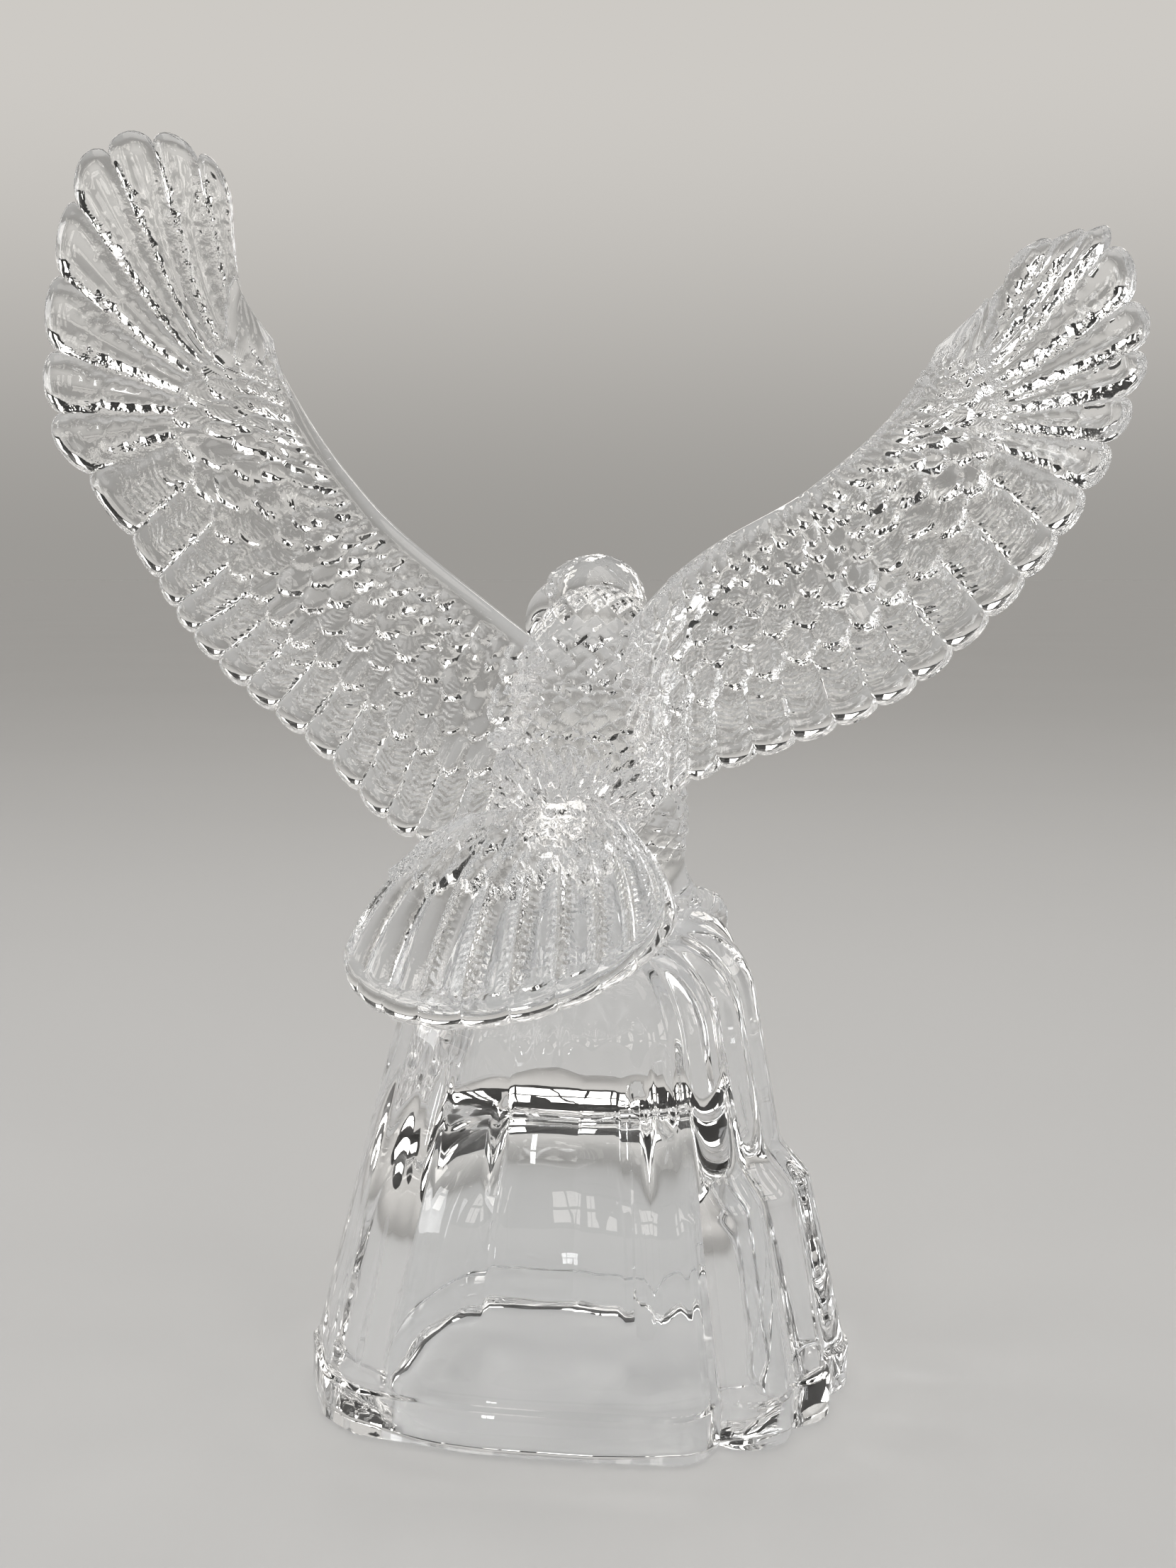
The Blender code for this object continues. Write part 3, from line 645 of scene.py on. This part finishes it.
def makeHead(name):
    stations = head["stations"]
    steps = np.linspace(0, len(stations) - 1, head["steps"])
    path = through([(number, at) for number, (at, _, _) in enumerate(stations)], steps)
    sizes = through([(number, (wide, high)) for number, (_, wide, high) in enumerate(stations)], steps)
    forward = unit(np.gradient(path, axis=0))
    sideways = unit(np.cross(forward, np.array([0.0, 0.0, 1.0])))
    upright = np.cross(sideways, forward)
    turns = np.linspace(0, 2 * math.pi, head["sides"], endpoint=False)
    around = turns / (2 * math.pi) * head["scalesAround"]
    rings = []
    for number, step in enumerate(steps):
        feathered = (1 - ease(step, 4.2, 5.0)) * ease(step, 0.2, 0.8)
        lift = head["scaleHeight"] * feathered * (diamonds(around, -step * head["scalesPerStation"]) - 0.5)
        # brow over each eye, and the line of the mouth along the beak
        for side in (0.0, math.pi):
            away = np.abs((turns - side + math.pi) % (2 * math.pi) - math.pi)
            above = np.sin(turns)
            onSide = away < 1.3
            lift = lift + head["browHeight"] * bell(step, 3.3, 0.8) * bell(above, 0.55, 0.14) * onSide
            gape = head["gapeDepth"] * ease(step, 4.6, 5.4) * (1 - ease(step, 7.4, 8.2))
            lift = lift - gape * bell(above, -0.35, 0.09) * onSide
        first = sideways[number] * sizes[number, 0]
        second = upright[number] * sizes[number, 1]
        ring = ovalRing(path[number], first, second, turns)
        ring = ring + unit(ring - path[number]) * lift[:, None]
        rings.append(onEagle(ring))
    pieces = [closedTube(name, rings)]
    at = int(round(head["eyeStation"] * (head["steps"] - 1) / (len(stations) - 1)))
    for side in (-1, 1):
        middle = path[at] + side * head["eyeAside"] * sideways[at] + head["eyeAbove"] * upright[at]
        pieces.append(egg(f"{name}Eye{side + 1}", middle, [head["eyeRadius"]] * 3, 20, 12))
    return pieces


# Legs and gripping toes
leg = {
    "stations": (
        ((5.6, -1.0, 23.5), 3.6),
        ((6.7, -3.8, 18.6), 5.2),
        ((7.4, -6.6, 12.8), 4.9),
        ((8.5, -8.2, 8.2), 3.4),
        ((9.8, -9.2, 5.2), 2.5),
        ((11.4, -10.7, 2.0), 2.7),
    ),
    "sides": 48,
    "steps": 60,
    "scalesAround": 8,
    "scaleRows": 10,
    "scaleShare": 0.13,
    "toeDirections": (50, 12, -26, -150),
    "toeLength": 5.8,
    "toeRadius": 1.9,
    "toeStations": ((-0.12, 0.0, 1.1), (0.45, 0.1, 1.0), (0.85, -1.6, 0.8), (1.0, -4.4, 0.35)),
    "toeLift": 0.17,
    "toeSides": 20,
    "toeSteps": 32,
    "toeBeads": 5,
    "beadHeight": 0.16,
}


def limb(name, path, radii, sides, relief=None):
    forward = unit(np.gradient(path, axis=0))
    turns = np.linspace(0, 2 * math.pi, sides, endpoint=False)
    rings = []
    for number, (centre, direction, radius) in enumerate(zip(path, forward, radii)):
        helper = np.array([0.0, 1.0, 0.3])
        first = unit(np.cross(direction, helper)) * radius
        second = np.cross(direction, first)
        ring = ovalRing(0, first, second, turns)
        if relief is not None:
            ring = ring * (1 + relief[number])[:, None]
        rings.append(onEagle(centre + ring))
    return closedTube(name, rings)


def makeLeg(name, side):
    mirror = np.array([side, 1, 1])
    last = len(leg["stations"]) - 1
    steps = np.linspace(0, last, leg["steps"])
    path = through([(number, np.array(at) * mirror) for number, (at, _) in enumerate(leg["stations"])], steps)
    radii = through([(number, (radius,)) for number, (_, radius) in enumerate(leg["stations"])], steps)[:, 0]
    # feathered thigh above a bare shank
    turn, step = np.meshgrid(np.linspace(0, 1, leg["sides"], endpoint=False), steps)
    scales = diamonds(turn * leg["scalesAround"], step * leg["scaleRows"] / last) - 0.5
    relief = leg["scaleShare"] * scales * ease(step, 0.2, 0.6) * (1 - ease(step, 2.6, 3.1))
    pieces = [limb(name, path, radii, leg["sides"], relief)]
    foot = path[-1]
    for number, turn in enumerate(leg["toeDirections"]):
        heading = math.radians(turn)
        ahead = np.array([math.sin(heading) * side, -math.cos(heading), 0.0]) * leg["toeLength"]
        stations = []
        for at, (run, rise, share) in enumerate(leg["toeStations"]):
            spot = foot + ahead * run + np.array([0, 0, rise])
            if at == 0:
                spot = spot + np.array([0, 0, leg["toeLift"] * number])
            stations.append((at, (*spot, leg["toeRadius"] * share)))
        at = np.linspace(0, len(stations) - 1, leg["toeSteps"])
        toe = through(stations, at)
        beads = leg["beadHeight"] * np.abs(np.sin(at * math.pi * leg["toeBeads"] / 3))
        beads = beads * (1 - ease(at, 1.9, 2.2))
        pieces.append(limb(f"{name}Toe{number}", toe[:, :3], toe[:, 3] * (0.95 + beads), leg["toeSides"]))
    return pieces


# Rock: a hollow tapered block of flat faces and rounded columns
rock = {
    "width": 0.115,
    "depth": 0.082,
    "taper": 0.405,
    "topSlope": 0.32,
    "bandHeight": 0.009,
    "bandStep": 0.0009,
    "footChamfer": 0.0012,
    "wall": 0.0072,
    "hollowHeight": 0.064,
    "blockHeight": 0.050,
    "blockStep": 0.10,
    # corners of the plan around its axis, as shares of its half width and half depth
    "plan": (
        (1.016, 0.226),
        (0.853, 0.724),
        (0.693, 0.889),
        (0.262, 0.973),
        (-0.097, 0.961),
        (-0.468, 0.903),
        (-0.534, 0.817),
        (-0.680, 0.195),
        (-0.713, -0.290),
        (-0.630, -0.680),
        (-0.260, -0.800),
        (0.243, -0.800),
        (0.660, -0.700),
        (0.900, -0.440),
        (1.000, -0.120),
    ),
    # columns as direction, share of the oblong's reach, radius share, low side block
    "columns": (
        (153, 0.88, 0.17, True),
        (170, 0.93, 0.16, True),
        (190, 0.98, 0.22, True),
        (218, 0.93, 0.36, False),
        (250, 0.98, 0.42, False),
        (284, 1.0, 0.42, False),
        (315, 0.97, 0.34, False),
        (343, 0.96, 0.30, False),
    ),
    "oblongPower": 3.0,
    "edgePower": 130,
    "groovePower": 28,
    "planShift": (0.0005, -0.002),
    "lean": -0.0018,
    "crownStart": 0.86,
    "crownDrawIn": 0.42,
    "hollowCrownStart": 0.55,
    "hollowDrawIn": 0.45,
    "hollowLevels": (
        -0.04, 0.1, 0.2, 0.3, 0.4, 0.5, 0.55, 0.62, 0.7, 0.78, 0.85, 0.9, 0.94, 0.97, 0.99, 1.0,
    ),
    "backSides": 150,
    "frontSides": 56,
    "hollowSides": 96,
    # fine carving of the face at the back, in degrees and shares of the height
    "stripEdges": (42.5, 69.3, 98.1, 112, 126),
    "stripCrowns": (0.0007, 0.0007, 0.00012, 0.0007),
    # cuts as direction, low and high share of the height, half width, depth, pointed below or round
    "cuts": (
        (68.0, 0.43, 0.75, 0.0022, 0.0026, True),
        (48.0, 0.30, 0.84, 0.0021, 0.0009, True),
        (163.0, 0.58, 0.92, 0.0030, 0.0014, True),
        (118.5, 0.28, 0.78, 0.0022, 0.0011, False),
        (128.0, 0.68, 0.87, 0.0028, 0.0014, False),
    ),
    "reachAtBack": 0.037,  # from the axis to the back faces, where degrees turn to widths
    "ledge": (0.905, 0.0009),  # share of the height, and how far its beads stand out
    # glass left standing between the rock's top and the belly, in hundredths
    "stumpMiddle": (0.0, -4.0, 3.0),
    "stumpRadii": (9.5, 9.0, 12.0),
}


def oblongReach(directions):
    power = rock["oblongPower"]
    squareness = np.abs(np.cos(directions) / (rock["width"] / 2)) ** power
    squareness = squareness + np.abs(np.sin(directions) / (rock["depth"] / 2)) ** power
    return squareness ** (-1 / power)


def planCorners():
    return np.array(rock["plan"]) * np.array([rock["width"] / 2, rock["depth"] / 2])


def planReach(directions):
    # flat faces between the corners of the plan, with slightly eased edges
    corners = planCorners()
    largest = rock["width"] / 2
    total = 0
    for corner, following in zip(corners, np.roll(corners, -1, axis=0)):
        along = following - corner
        normal = unit(np.array([along[1], -along[0]]))
        facing = normal[0] * np.cos(directions) + normal[1] * np.sin(directions)
        total = total + (np.maximum(facing, 0) * largest / (normal @ corner)) ** rock["edgePower"]
    return largest * total ** (-1 / rock["edgePower"])


def columnReach(directions, turn, outer, radius):
    off = np.abs((directions - math.radians(turn) + math.pi) % (2 * math.pi) - math.pi)
    middle = outer - radius
    inside = radius**2 - (middle * np.sin(off)) ** 2
    distance = middle * np.cos(off) + np.sqrt(np.maximum(inside, 0))
    return np.where((inside > 0) & (off < math.pi / 2), distance, 0)


def rockReach(directions, level):
    block = rock["blockHeight"] / statue["rockHeight"]
    reaches = [planReach(directions)]
    for turn, reach, radius, low in rock["columns"]:
        # each low column ends in a round shoulder
        shoulder = 1 - rock["blockStep"] * ease(level, block - 0.05, block + 0.05)
        outer = reach * oblongReach(math.radians(turn)) * (shoulder if low else 1)
        reaches.append(columnReach(directions, turn, outer, radius * outer))
    largest = rock["width"] / 2
    total = sum((reach / largest) ** rock["groovePower"] for reach in reaches)
    return largest * total ** (1 / rock["groovePower"])


def rockCarving(directions, level):
    # slightly crowned strips, pointed and round-ended cuts and a beaded ledge on the back faces
    degrees = np.degrees(directions)
    relief = np.zeros(len(directions))
    edges = rock["stripEdges"]
    for start, end, rise in zip(edges, edges[1:], rock["stripCrowns"]):
        share = np.clip((degrees - start) / (end - start), 0, 1)
        crown = 4 * share * (1 - share) * ease(level, 0.1, 0.2) * (1 - ease(level, 0.8, 0.9))
        relief += rise * crown
    for turn, low, high, halfWidth, depth, pointed in rock["cuts"]:
        share = (level - low) / (high - low)
        if not 0 < share < 1:
            continue
        away = np.abs(np.radians(degrees - turn)) * rock["reachAtBack"]
        if pointed:
            spread = halfWidth * math.sqrt(share) * math.sqrt(1 - float(ease(share, 0.75, 1.0)))
            relief -= depth * np.clip(1 - away / max(spread, 1e-5), 0, 1)
        else:
            ends = min(share, 1 - share) * (high - low) * statue["rockHeight"] / halfWidth
            spread = halfWidth * math.sqrt(max(1 - max(1 - ends, 0) ** 2, 1e-6))
            relief -= depth * (1 - ease(away, 0.55 * spread, spread))
    at, height = rock["ledge"]
    beads = 0.5 + 0.5 * np.sin(directions * 27 + 1.5 * np.sin(directions * 5))
    face = ease(degrees, 48, 58) * (1 - ease(degrees, 118, 128))
    return relief + height * beads * bell(level, at, 0.022) * face


def rockRing(directions, level, inset=0.0, carved=False):
    band = rock["bandHeight"] / statue["rockHeight"]
    reach = rockReach(directions, level)
    if level < rock["footChamfer"] / statue["rockHeight"] / 2:
        reach = reach - rock["footChamfer"]
    if level > band + 1e-6:
        reach = reach - rock["bandStep"] * float(ease(level, band, band + 0.012))
    scale = 1 - rock["taper"] * max(level - band, 0)
    crown = (level - rock["crownStart"]) / (1 - rock["crownStart"])
    scale *= 1 - rock["crownDrawIn"] * float(roundOver(crown))
    reach = reach * scale - inset
    if carved:
        reach = reach + rockCarving(directions, level)
    across = reach * np.cos(directions) + rock["planShift"][0] + rock["lean"] * level
    depth = reach * np.sin(directions) + rock["planShift"][1]
    height = statue["rockHeight"] * level - rock["topSlope"] * depth * ease(level, 0.55, 0.95)
    return np.stack([across, depth, height], axis=1) - np.array(statue["middle"])


def makeRock(name):
    start = math.radians(15)
    end = math.radians(190)
    back = np.linspace(start, end, rock["backSides"], endpoint=False)
    front = np.linspace(end, start + 2 * math.pi, rock["frontSides"], endpoint=False)
    directions = np.concatenate([back, front]) % (2 * math.pi)
    for across, depth in planCorners():
        turn = math.atan2(depth, across) % (2 * math.pi)
        directions[np.argmin(np.abs(directions - turn))] = turn
    band = rock["bandHeight"] / statue["rockHeight"]
    chamfer = rock["footChamfer"] / statue["rockHeight"]
    block = rock["blockHeight"] / statue["rockHeight"]
    levels = [0, chamfer / 2, chamfer, band * 0.5, band, band + 0.004, band + 0.008, band + 0.012]
    levels += list(np.linspace(band + 0.03, block - 0.06, 12))
    levels += list(np.linspace(block - 0.05, block + 0.05, 12))
    levels += list(np.linspace(block + 0.07, rock["crownStart"], 14))
    turns = np.linspace(0, math.pi / 2, 12)[1:]
    levels += list(rock["crownStart"] + (1 - rock["crownStart"]) * np.sin(turns))
    return closedTube(name, [rockRing(directions, level, carved=True) for level in levels])


def makeHollow(name):
    window = rock["hollowSides"] // 12
    fine = np.linspace(0, 2 * math.pi, rock["hollowSides"], endpoint=False)
    rings = []
    for level in rock["hollowLevels"]:
        height = rock["hollowHeight"] * level
        share = max(height, 0) / statue["rockHeight"]
        ring = rockRing(fine, share, rock["wall"]) + np.array(statue["middle"])
        axis = np.array(rock["planShift"]) + np.array([rock["lean"] * share, 0])
        reach = np.linalg.norm(ring[:, :2] - axis, axis=1)
        turned = [np.roll(reach, places) for places in range(-window, window + 1)]
        reach = np.minimum(np.mean(turned, axis=0), reach + 0.2 * rock["wall"])
        crown = (level - rock["hollowCrownStart"]) / (1 - rock["hollowCrownStart"])
        reach = reach * (1 - rock["hollowDrawIn"] * float(roundOver(crown)))
        across = reach * np.cos(fine) + axis[0]
        depth = reach * np.sin(fine) + axis[1]
        ring = np.stack([across, depth, np.full(len(reach), height)], axis=1)
        rings.append(ring - np.array(statue["middle"]))
    return closedTube(name, rings)


joining = {"solver": "MANIFOLD"}


def joined(base, pieces, cutter):
    # one skin around everything, with the hollow cut out of it
    group = bpy.data.collections.new("eagleShapes")
    bpy.context.scene.collection.children.link(group)
    for piece in pieces:
        bpy.context.scene.collection.objects.unlink(piece)
        group.objects.link(piece)
    union = base.modifiers.new("join", "BOOLEAN")
    union.operation = "UNION"
    union.solver = joining["solver"]
    union.operand_type = "COLLECTION"
    union.collection = group
    hollow = base.modifiers.new("hollow", "BOOLEAN")
    hollow.operation = "DIFFERENCE"
    hollow.solver = joining["solver"]
    hollow.object = cutter
    graph = bpy.context.evaluated_depsgraph_get()
    mesh = bpy.data.meshes.new_from_object(base.evaluated_get(graph), depsgraph=graph)
    mesh.name = "eagleCrystal"
    made = bpy.data.objects.new("eagleCrystal", mesh)
    bpy.context.scene.collection.objects.link(made)
    for old in [base, cutter, *pieces]:
        bpy.data.objects.remove(old, do_unlink=True)
    bpy.data.collections.remove(group)
    return made


print("carving the shapes")
rockShape = makeRock("rock")
hollowShape = makeHollow("rockHollow")
shapes = [egg("stump", rock["stumpMiddle"], rock["stumpRadii"])]
shapes.append(makeBody("body"))
shapes += makeLeg("leftLeg", 1)
shapes += makeLeg("rightLeg", -1)
shapes += makeHead("head")
shapes.append(makeTail("tail"))
shapes.append(makeWing("leftWing", leftWing))
shapes.append(makeWing("rightWing", rightWing))
print("shapes:", {shape.name: len(shape.data.polygons) for shape in shapes})
print("joining them into one piece of glass")
eagle = joined(rockShape, shapes, hollowShape)
eagle.data.shade_smooth()
eagle.data.set_sharp_from_angle(angle=math.radians(statue["crispAngle"]))
print("triangles:", sum(len(face.vertices) - 2 for face in eagle.data.polygons))


# Material


def linear(hexColour):
    values = []
    for start in (0, 2, 4):
        value = int(hexColour[start:start + 2], 16) / 255
        values.append(value / 12.92 if value <= 0.04045 else ((value + 0.055) / 1.055) ** 2.4)
    return (*values, 1.0)


def addNode(tree, kind, settings=None, links=None):
    # one node with its settings; a setting or link is named by attribute or by input
    node = tree.nodes.new(kind)
    for key, value in (settings or {}).items():
        if isinstance(key, str) and hasattr(node, key) and key not in node.inputs:
            setattr(node, key, value)
        else:
            node.inputs[key].default_value = value
    for key, socket in (links or {}).items():
        tree.links.new(socket, node.inputs[key])
    return node


crystal = {
    "colour": "FDFEFF",
    "ior": 1.54,
    "roughness": 0.012,
    "frosting": 0.12,
    "rippleSize": 9.0,  # mm between the soft waves that pressing leaves in the glass
    "rippleHeight": 0.05,  # heights in mm too
    "barbPitch": 1.3,  # mm between barbs: the coarser of the real 0.9 to 1.4, so that they show
    "barbHeight": 0.26,
    "barbSlant": 1.1,
    "unevenSize": 4.0,
    "unevenShare": 2.2,
    "nickSize": 1.5,  # mm; the real glints are 0.4 to 0.7 across, too fine to show in the render
    "nickHeight": 0.45,
}


def calculate(tree, operation, *values):
    # a maths node on sockets or numbers
    node = tree.nodes.new("ShaderNodeMath")
    node.operation = operation
    for place, value in enumerate(values):
        if isinstance(value, (int, float)):
            node.inputs[place].default_value = value
        else:
            tree.links.new(value, node.inputs[place])
    return node.outputs[0]


def crystalMaterial():
    # Lead crystal, pressed in a mould and fire polished: water-clear, with soft waves on the
    # plain faces, and sparkling nicks and barbs where the mould's fine carving left it frosted
    material = bpy.data.materials.new("leadCrystalPressed")
    material.use_nodes = True
    tree = material.node_tree
    shader = tree.nodes["Principled BSDF"]
    shader.inputs["Base Color"].default_value = linear(crystal["colour"])
    shader.inputs["IOR"].default_value = crystal["ior"]
    shader.inputs["Transmission Weight"].default_value = 1.0
    place = addNode(tree, "ShaderNodeTexCoord").outputs["Object"]
    carving = addNode(tree, "ShaderNodeUVMap", {"uv_map": "carving"})
    finish = addNode(tree, "ShaderNodeUVMap", {"uv_map": "finish"})
    carved = addNode(tree, "ShaderNodeSeparateXYZ", links={0: carving.outputs[0]})
    finished = addNode(tree, "ShaderNodeSeparateXYZ", links={0: finish.outputs[0]})
    frost = finished.outputs[0]
    barbs = finished.outputs[1]

    def noise(size, detail):
        settings = {"Scale": 1000 / size, "Detail": detail, "Roughness": 0.6}
        return addNode(tree, "ShaderNodeTexNoise", settings, {"Vector": place}).outputs[0]

    ripple = calculate(tree, "MULTIPLY", noise(crystal["rippleSize"], 1.0), crystal["rippleHeight"])
    nicks = noise(crystal["nickSize"], 2.0)
    nicked = calculate(tree, "MULTIPLY", nicks, frost)
    nicked = calculate(tree, "MULTIPLY", nicked, crystal["nickHeight"])
    # barbs slant away from the shaft on both sides, a little uneven
    aside = calculate(tree, "SUBTRACT", calculate(tree, "FRACT", carved.outputs[0]), 0.5)
    aside = calculate(tree, "ABSOLUTE", aside)
    line = calculate(tree, "MULTIPLY", carved.outputs[1], 10 / crystal["barbPitch"])
    line = calculate(tree, "MULTIPLY_ADD", aside, 2 * crystal["barbSlant"], line)
    uneven = noise(crystal["unevenSize"], 1.0)
    line = calculate(tree, "MULTIPLY_ADD", uneven, crystal["unevenShare"], line)
    ridge = calculate(tree, "PINGPONG", line, 0.5)
    barbed = calculate(tree, "MULTIPLY", calculate(tree, "MULTIPLY", ridge, barbs), 2 * crystal["barbHeight"])
    barbed = calculate(tree, "MULTIPLY", barbed, calculate(tree, "ADD", nicks, 0.3))
    height = calculate(tree, "ADD", calculate(tree, "ADD", ripple, nicked), barbed)
    waves = addNode(tree, "ShaderNodeBump", {"Strength": 1.0, "Distance": 0.001}, {"Height": height})
    tree.links.new(waves.outputs[0], shader.inputs["Normal"])
    matt = calculate(tree, "MULTIPLY", calculate(tree, "MULTIPLY", nicks, frost), crystal["frosting"])
    tree.links.new(calculate(tree, "ADD", matt, crystal["roughness"]), shader.inputs["Roughness"])
    return material


print("making the crystal")
eagle.data.materials.clear()
eagle.data.materials.append(crystalMaterial())
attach(eagle, "root")
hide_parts("crystal_eagle")


# Floor, light and camera
studio = {
    "floorColour": "B7B7B7",
    "floorMottle": "B3B3B3",
    "floorRadius": 40.0,
    "floorSides": 96,
    "floorHeight": -0.0004,
    "roomColour": "FAF6F0",
    # the room by the sine of the height above the horizon: wall, dark gap, windows, ceiling, skylight
    "wallFoot": 0.33,
    "wallBright": 0.62,
    "wallGrade": 0.26,
    "wallTop": 0.30,
    "windows": (0.35, 0.62),
    "windowShare": 0.42,
    "bar": 0.014,
    "windowBright": 4.0,
    "windowsAround": 12,
    "skylight": 0.9,
    "skylightBright": 1.5,
    "dark": 0.02,
    "fillPower": 13.0,
    "fillHeight": 1.5,
    # a small far window of two by two panes behind the camera
    "paneMiddle": (1.03, 4.6, 0.40),
    "paneOffsets": (0.062, 0.10),
    "paneSize": (0.108, 0.18),
    "panePower": 1.1,
    # a soft panel beside the eagle
    "sidePlace": (2.2, 0.6, 0.9),
    "sidePower": 12,
}


def makeFloor():
    # pale round floor that runs out to the horizon
    turns = np.linspace(0, 2 * math.pi, studio["floorSides"], endpoint=False)
    reach = studio["floorRadius"]
    points = [(reach * math.cos(turn), reach * math.sin(turn), studio["floorHeight"]) for turn in turns]
    mesh = bpy.data.meshes.new("floor")
    mesh.from_pydata(points, [], [tuple(range(len(points)))])
    floor = bpy.data.objects.new("floor", mesh)
    bpy.context.scene.collection.objects.link(floor)
    # matt paper: pale, with a barely visible mottle
    material = bpy.data.materials.new("paperMatt")
    material.use_nodes = True
    tree = material.node_tree
    shader = tree.nodes["Principled BSDF"]
    shader.inputs["Roughness"].default_value = 0.9
    shader.inputs["Specular IOR Level"].default_value = 0.1
    place = addNode(tree, "ShaderNodeTexCoord")
    cloud = addNode(tree, "ShaderNodeTexNoise", {"Scale": 3.0}, {"Vector": place.outputs["Object"]})
    ramp = addNode(tree, "ShaderNodeValToRGB", links={0: cloud.outputs[0]})
    ramp.color_ramp.elements[0].color = linear(studio["floorColour"])
    ramp.color_ramp.elements[1].color = linear(studio["floorMottle"])
    tree.links.new(ramp.outputs[0], shader.inputs["Base Color"])
    floor.data.materials.append(material)
    return floor


def areaLight(name, at, towards, size, power, height=None):
    lamp = bpy.data.lights.new(name, "AREA")
    lamp.shape = "RECTANGLE"
    lamp.size = size
    lamp.size_y = height or size
    lamp.energy = power
    made = bpy.data.objects.new(name, lamp)
    made.location = at
    made.rotation_euler = (Vector(towards) - Vector(at)).to_track_quat("-Z", "Y").to_euler()
    bpy.context.scene.collection.objects.link(made)
    return made


def lightRoom():
    # a pale wall all round, a row of windows above it and a dark ceiling with a round skylight: the
    # same from all sides, so that the clear glass has bright and dark to show from anywhere
    world = bpy.data.worlds.new("paleRoom")
    bpy.context.scene.world = world
    world.use_nodes = True
    tree = world.node_tree
    background = tree.nodes["Background"]
    place = addNode(tree, "ShaderNodeTexCoord")
    parts = addNode(tree, "ShaderNodeSeparateXYZ", links={0: place.outputs["Generated"]})
    height = parts.outputs[2]
    # windows in a row all round, each with a bar down and a bar across
    turn = calculate(tree, "ARCTAN2", parts.outputs[1], parts.outputs[0])
    turn = calculate(tree, "DIVIDE", turn, 2 * math.pi)
    turn = calculate(tree, "PINGPONG", calculate(tree, "MULTIPLY", turn, studio["windowsAround"]), 0.5)
    pane = calculate(tree, "GREATER_THAN", turn, 0.5 - studio["windowShare"] / 2)
    pane = calculate(tree, "MULTIPLY", pane, calculate(tree, "LESS_THAN", turn, 0.5 - studio["bar"]))
    low, high = studio["windows"]
    inRow = calculate(tree, "GREATER_THAN", height, low)
    inRow = calculate(tree, "MULTIPLY", inRow, calculate(tree, "LESS_THAN", height, high))
    fromBar = calculate(tree, "ABSOLUTE", calculate(tree, "SUBTRACT", height, (low + high) / 2))
    inRow = calculate(tree, "MULTIPLY", inRow, calculate(tree, "GREATER_THAN", fromBar, studio["bar"]))
    window = calculate(tree, "MULTIPLY", calculate(tree, "MULTIPLY", inRow, pane), studio["windowBright"])
    # the wall brightens upwards from the tone that the floor has far away
    graded = {
        "interpolation_type": "SMOOTHSTEP",
        "From Max": studio["wallGrade"],
        "To Min": studio["wallFoot"],
        "To Max": studio["wallBright"],
    }
    lit = addNode(tree, "ShaderNodeMapRange", graded, {"Value": height})
    wall = calculate(tree, "LESS_THAN", height, studio["wallTop"])
    wall = calculate(tree, "MULTIPLY", wall, lit.outputs[0])
    sky = calculate(tree, "GREATER_THAN", height, studio["skylight"])
    sky = calculate(tree, "MULTIPLY", sky, studio["skylightBright"])
    bright = calculate(tree, "ADD", window, wall)
    bright = calculate(tree, "ADD", bright, calculate(tree, "ADD", sky, studio["dark"]))
    tree.links.new(bright, background.inputs["Strength"])
    background.inputs["Color"].default_value = linear(studio["roomColour"])
    # a soft panel above the floor that throws no shadow and isn't seen in the glass
    fill = areaLight("fill", (0, 0.2, studio["fillHeight"]), (0, 0.2, 0), 1.0, studio["fillPower"])
    fill.data.use_shadow = False
    fill.visible_glossy = False
    fill.visible_transmission = False
    middle = studio["paneMiddle"]
    across, upwards = studio["paneOffsets"]
    wide, high = studio["paneSize"]
    for sideways in (-across, across):
        for raised in (-upwards, upwards):
            at = (middle[0] + sideways, middle[1], middle[2] + raised)
            pane = areaLight("pane", at, (0, 0, 0.06), wide, studio["panePower"], high)
            pane.visible_diffuse = False
    side = areaLight("softSide", studio["sidePlace"], (0, 0, 0.12), 1.0, studio["sidePower"])
    side.visible_diffuse = False


camera = {
    "heading": 11,
    "pitch": 6.7,
    "sensor": 36,
    "focal": 2544,  # in pixels of a picture 2212 high
    "pictureHeight": 2212,
    "place": (-0.0752, 0.3616, 0.1730),
}


def placeCamera():
    heading = math.radians(camera["heading"])
    pitch = math.radians(camera["pitch"])
    level = math.cos(pitch)
    forward = Vector((math.sin(heading) * level, -math.cos(heading) * level, -math.sin(pitch)))
    lens = bpy.data.cameras.new("camera")
    lens.sensor_width = camera["sensor"]
    lens.lens = camera["sensor"] * camera["focal"] / camera["pictureHeight"]
    made = bpy.data.objects.new("camera", lens)
    made.location = camera["place"]
    made.rotation_euler = forward.to_track_quat("-Z", "Y").to_euler()
    bpy.context.scene.collection.objects.link(made)
    bpy.context.scene.camera = made


print("lighting the room")
makeFloor()
lightRoom()
placeCamera()
# light has to pass many layers of glass
settings = bpy.context.scene.cycles
settings.max_bounces = 24
settings.transmission_bounces = 20
settings.glossy_bounces = 12
settings.diffuse_bounces = 3
settings.transparent_max_bounces = 12
settings.blur_glossy = 0.1
bpy.context.scene.view_settings.view_transform = "Standard"
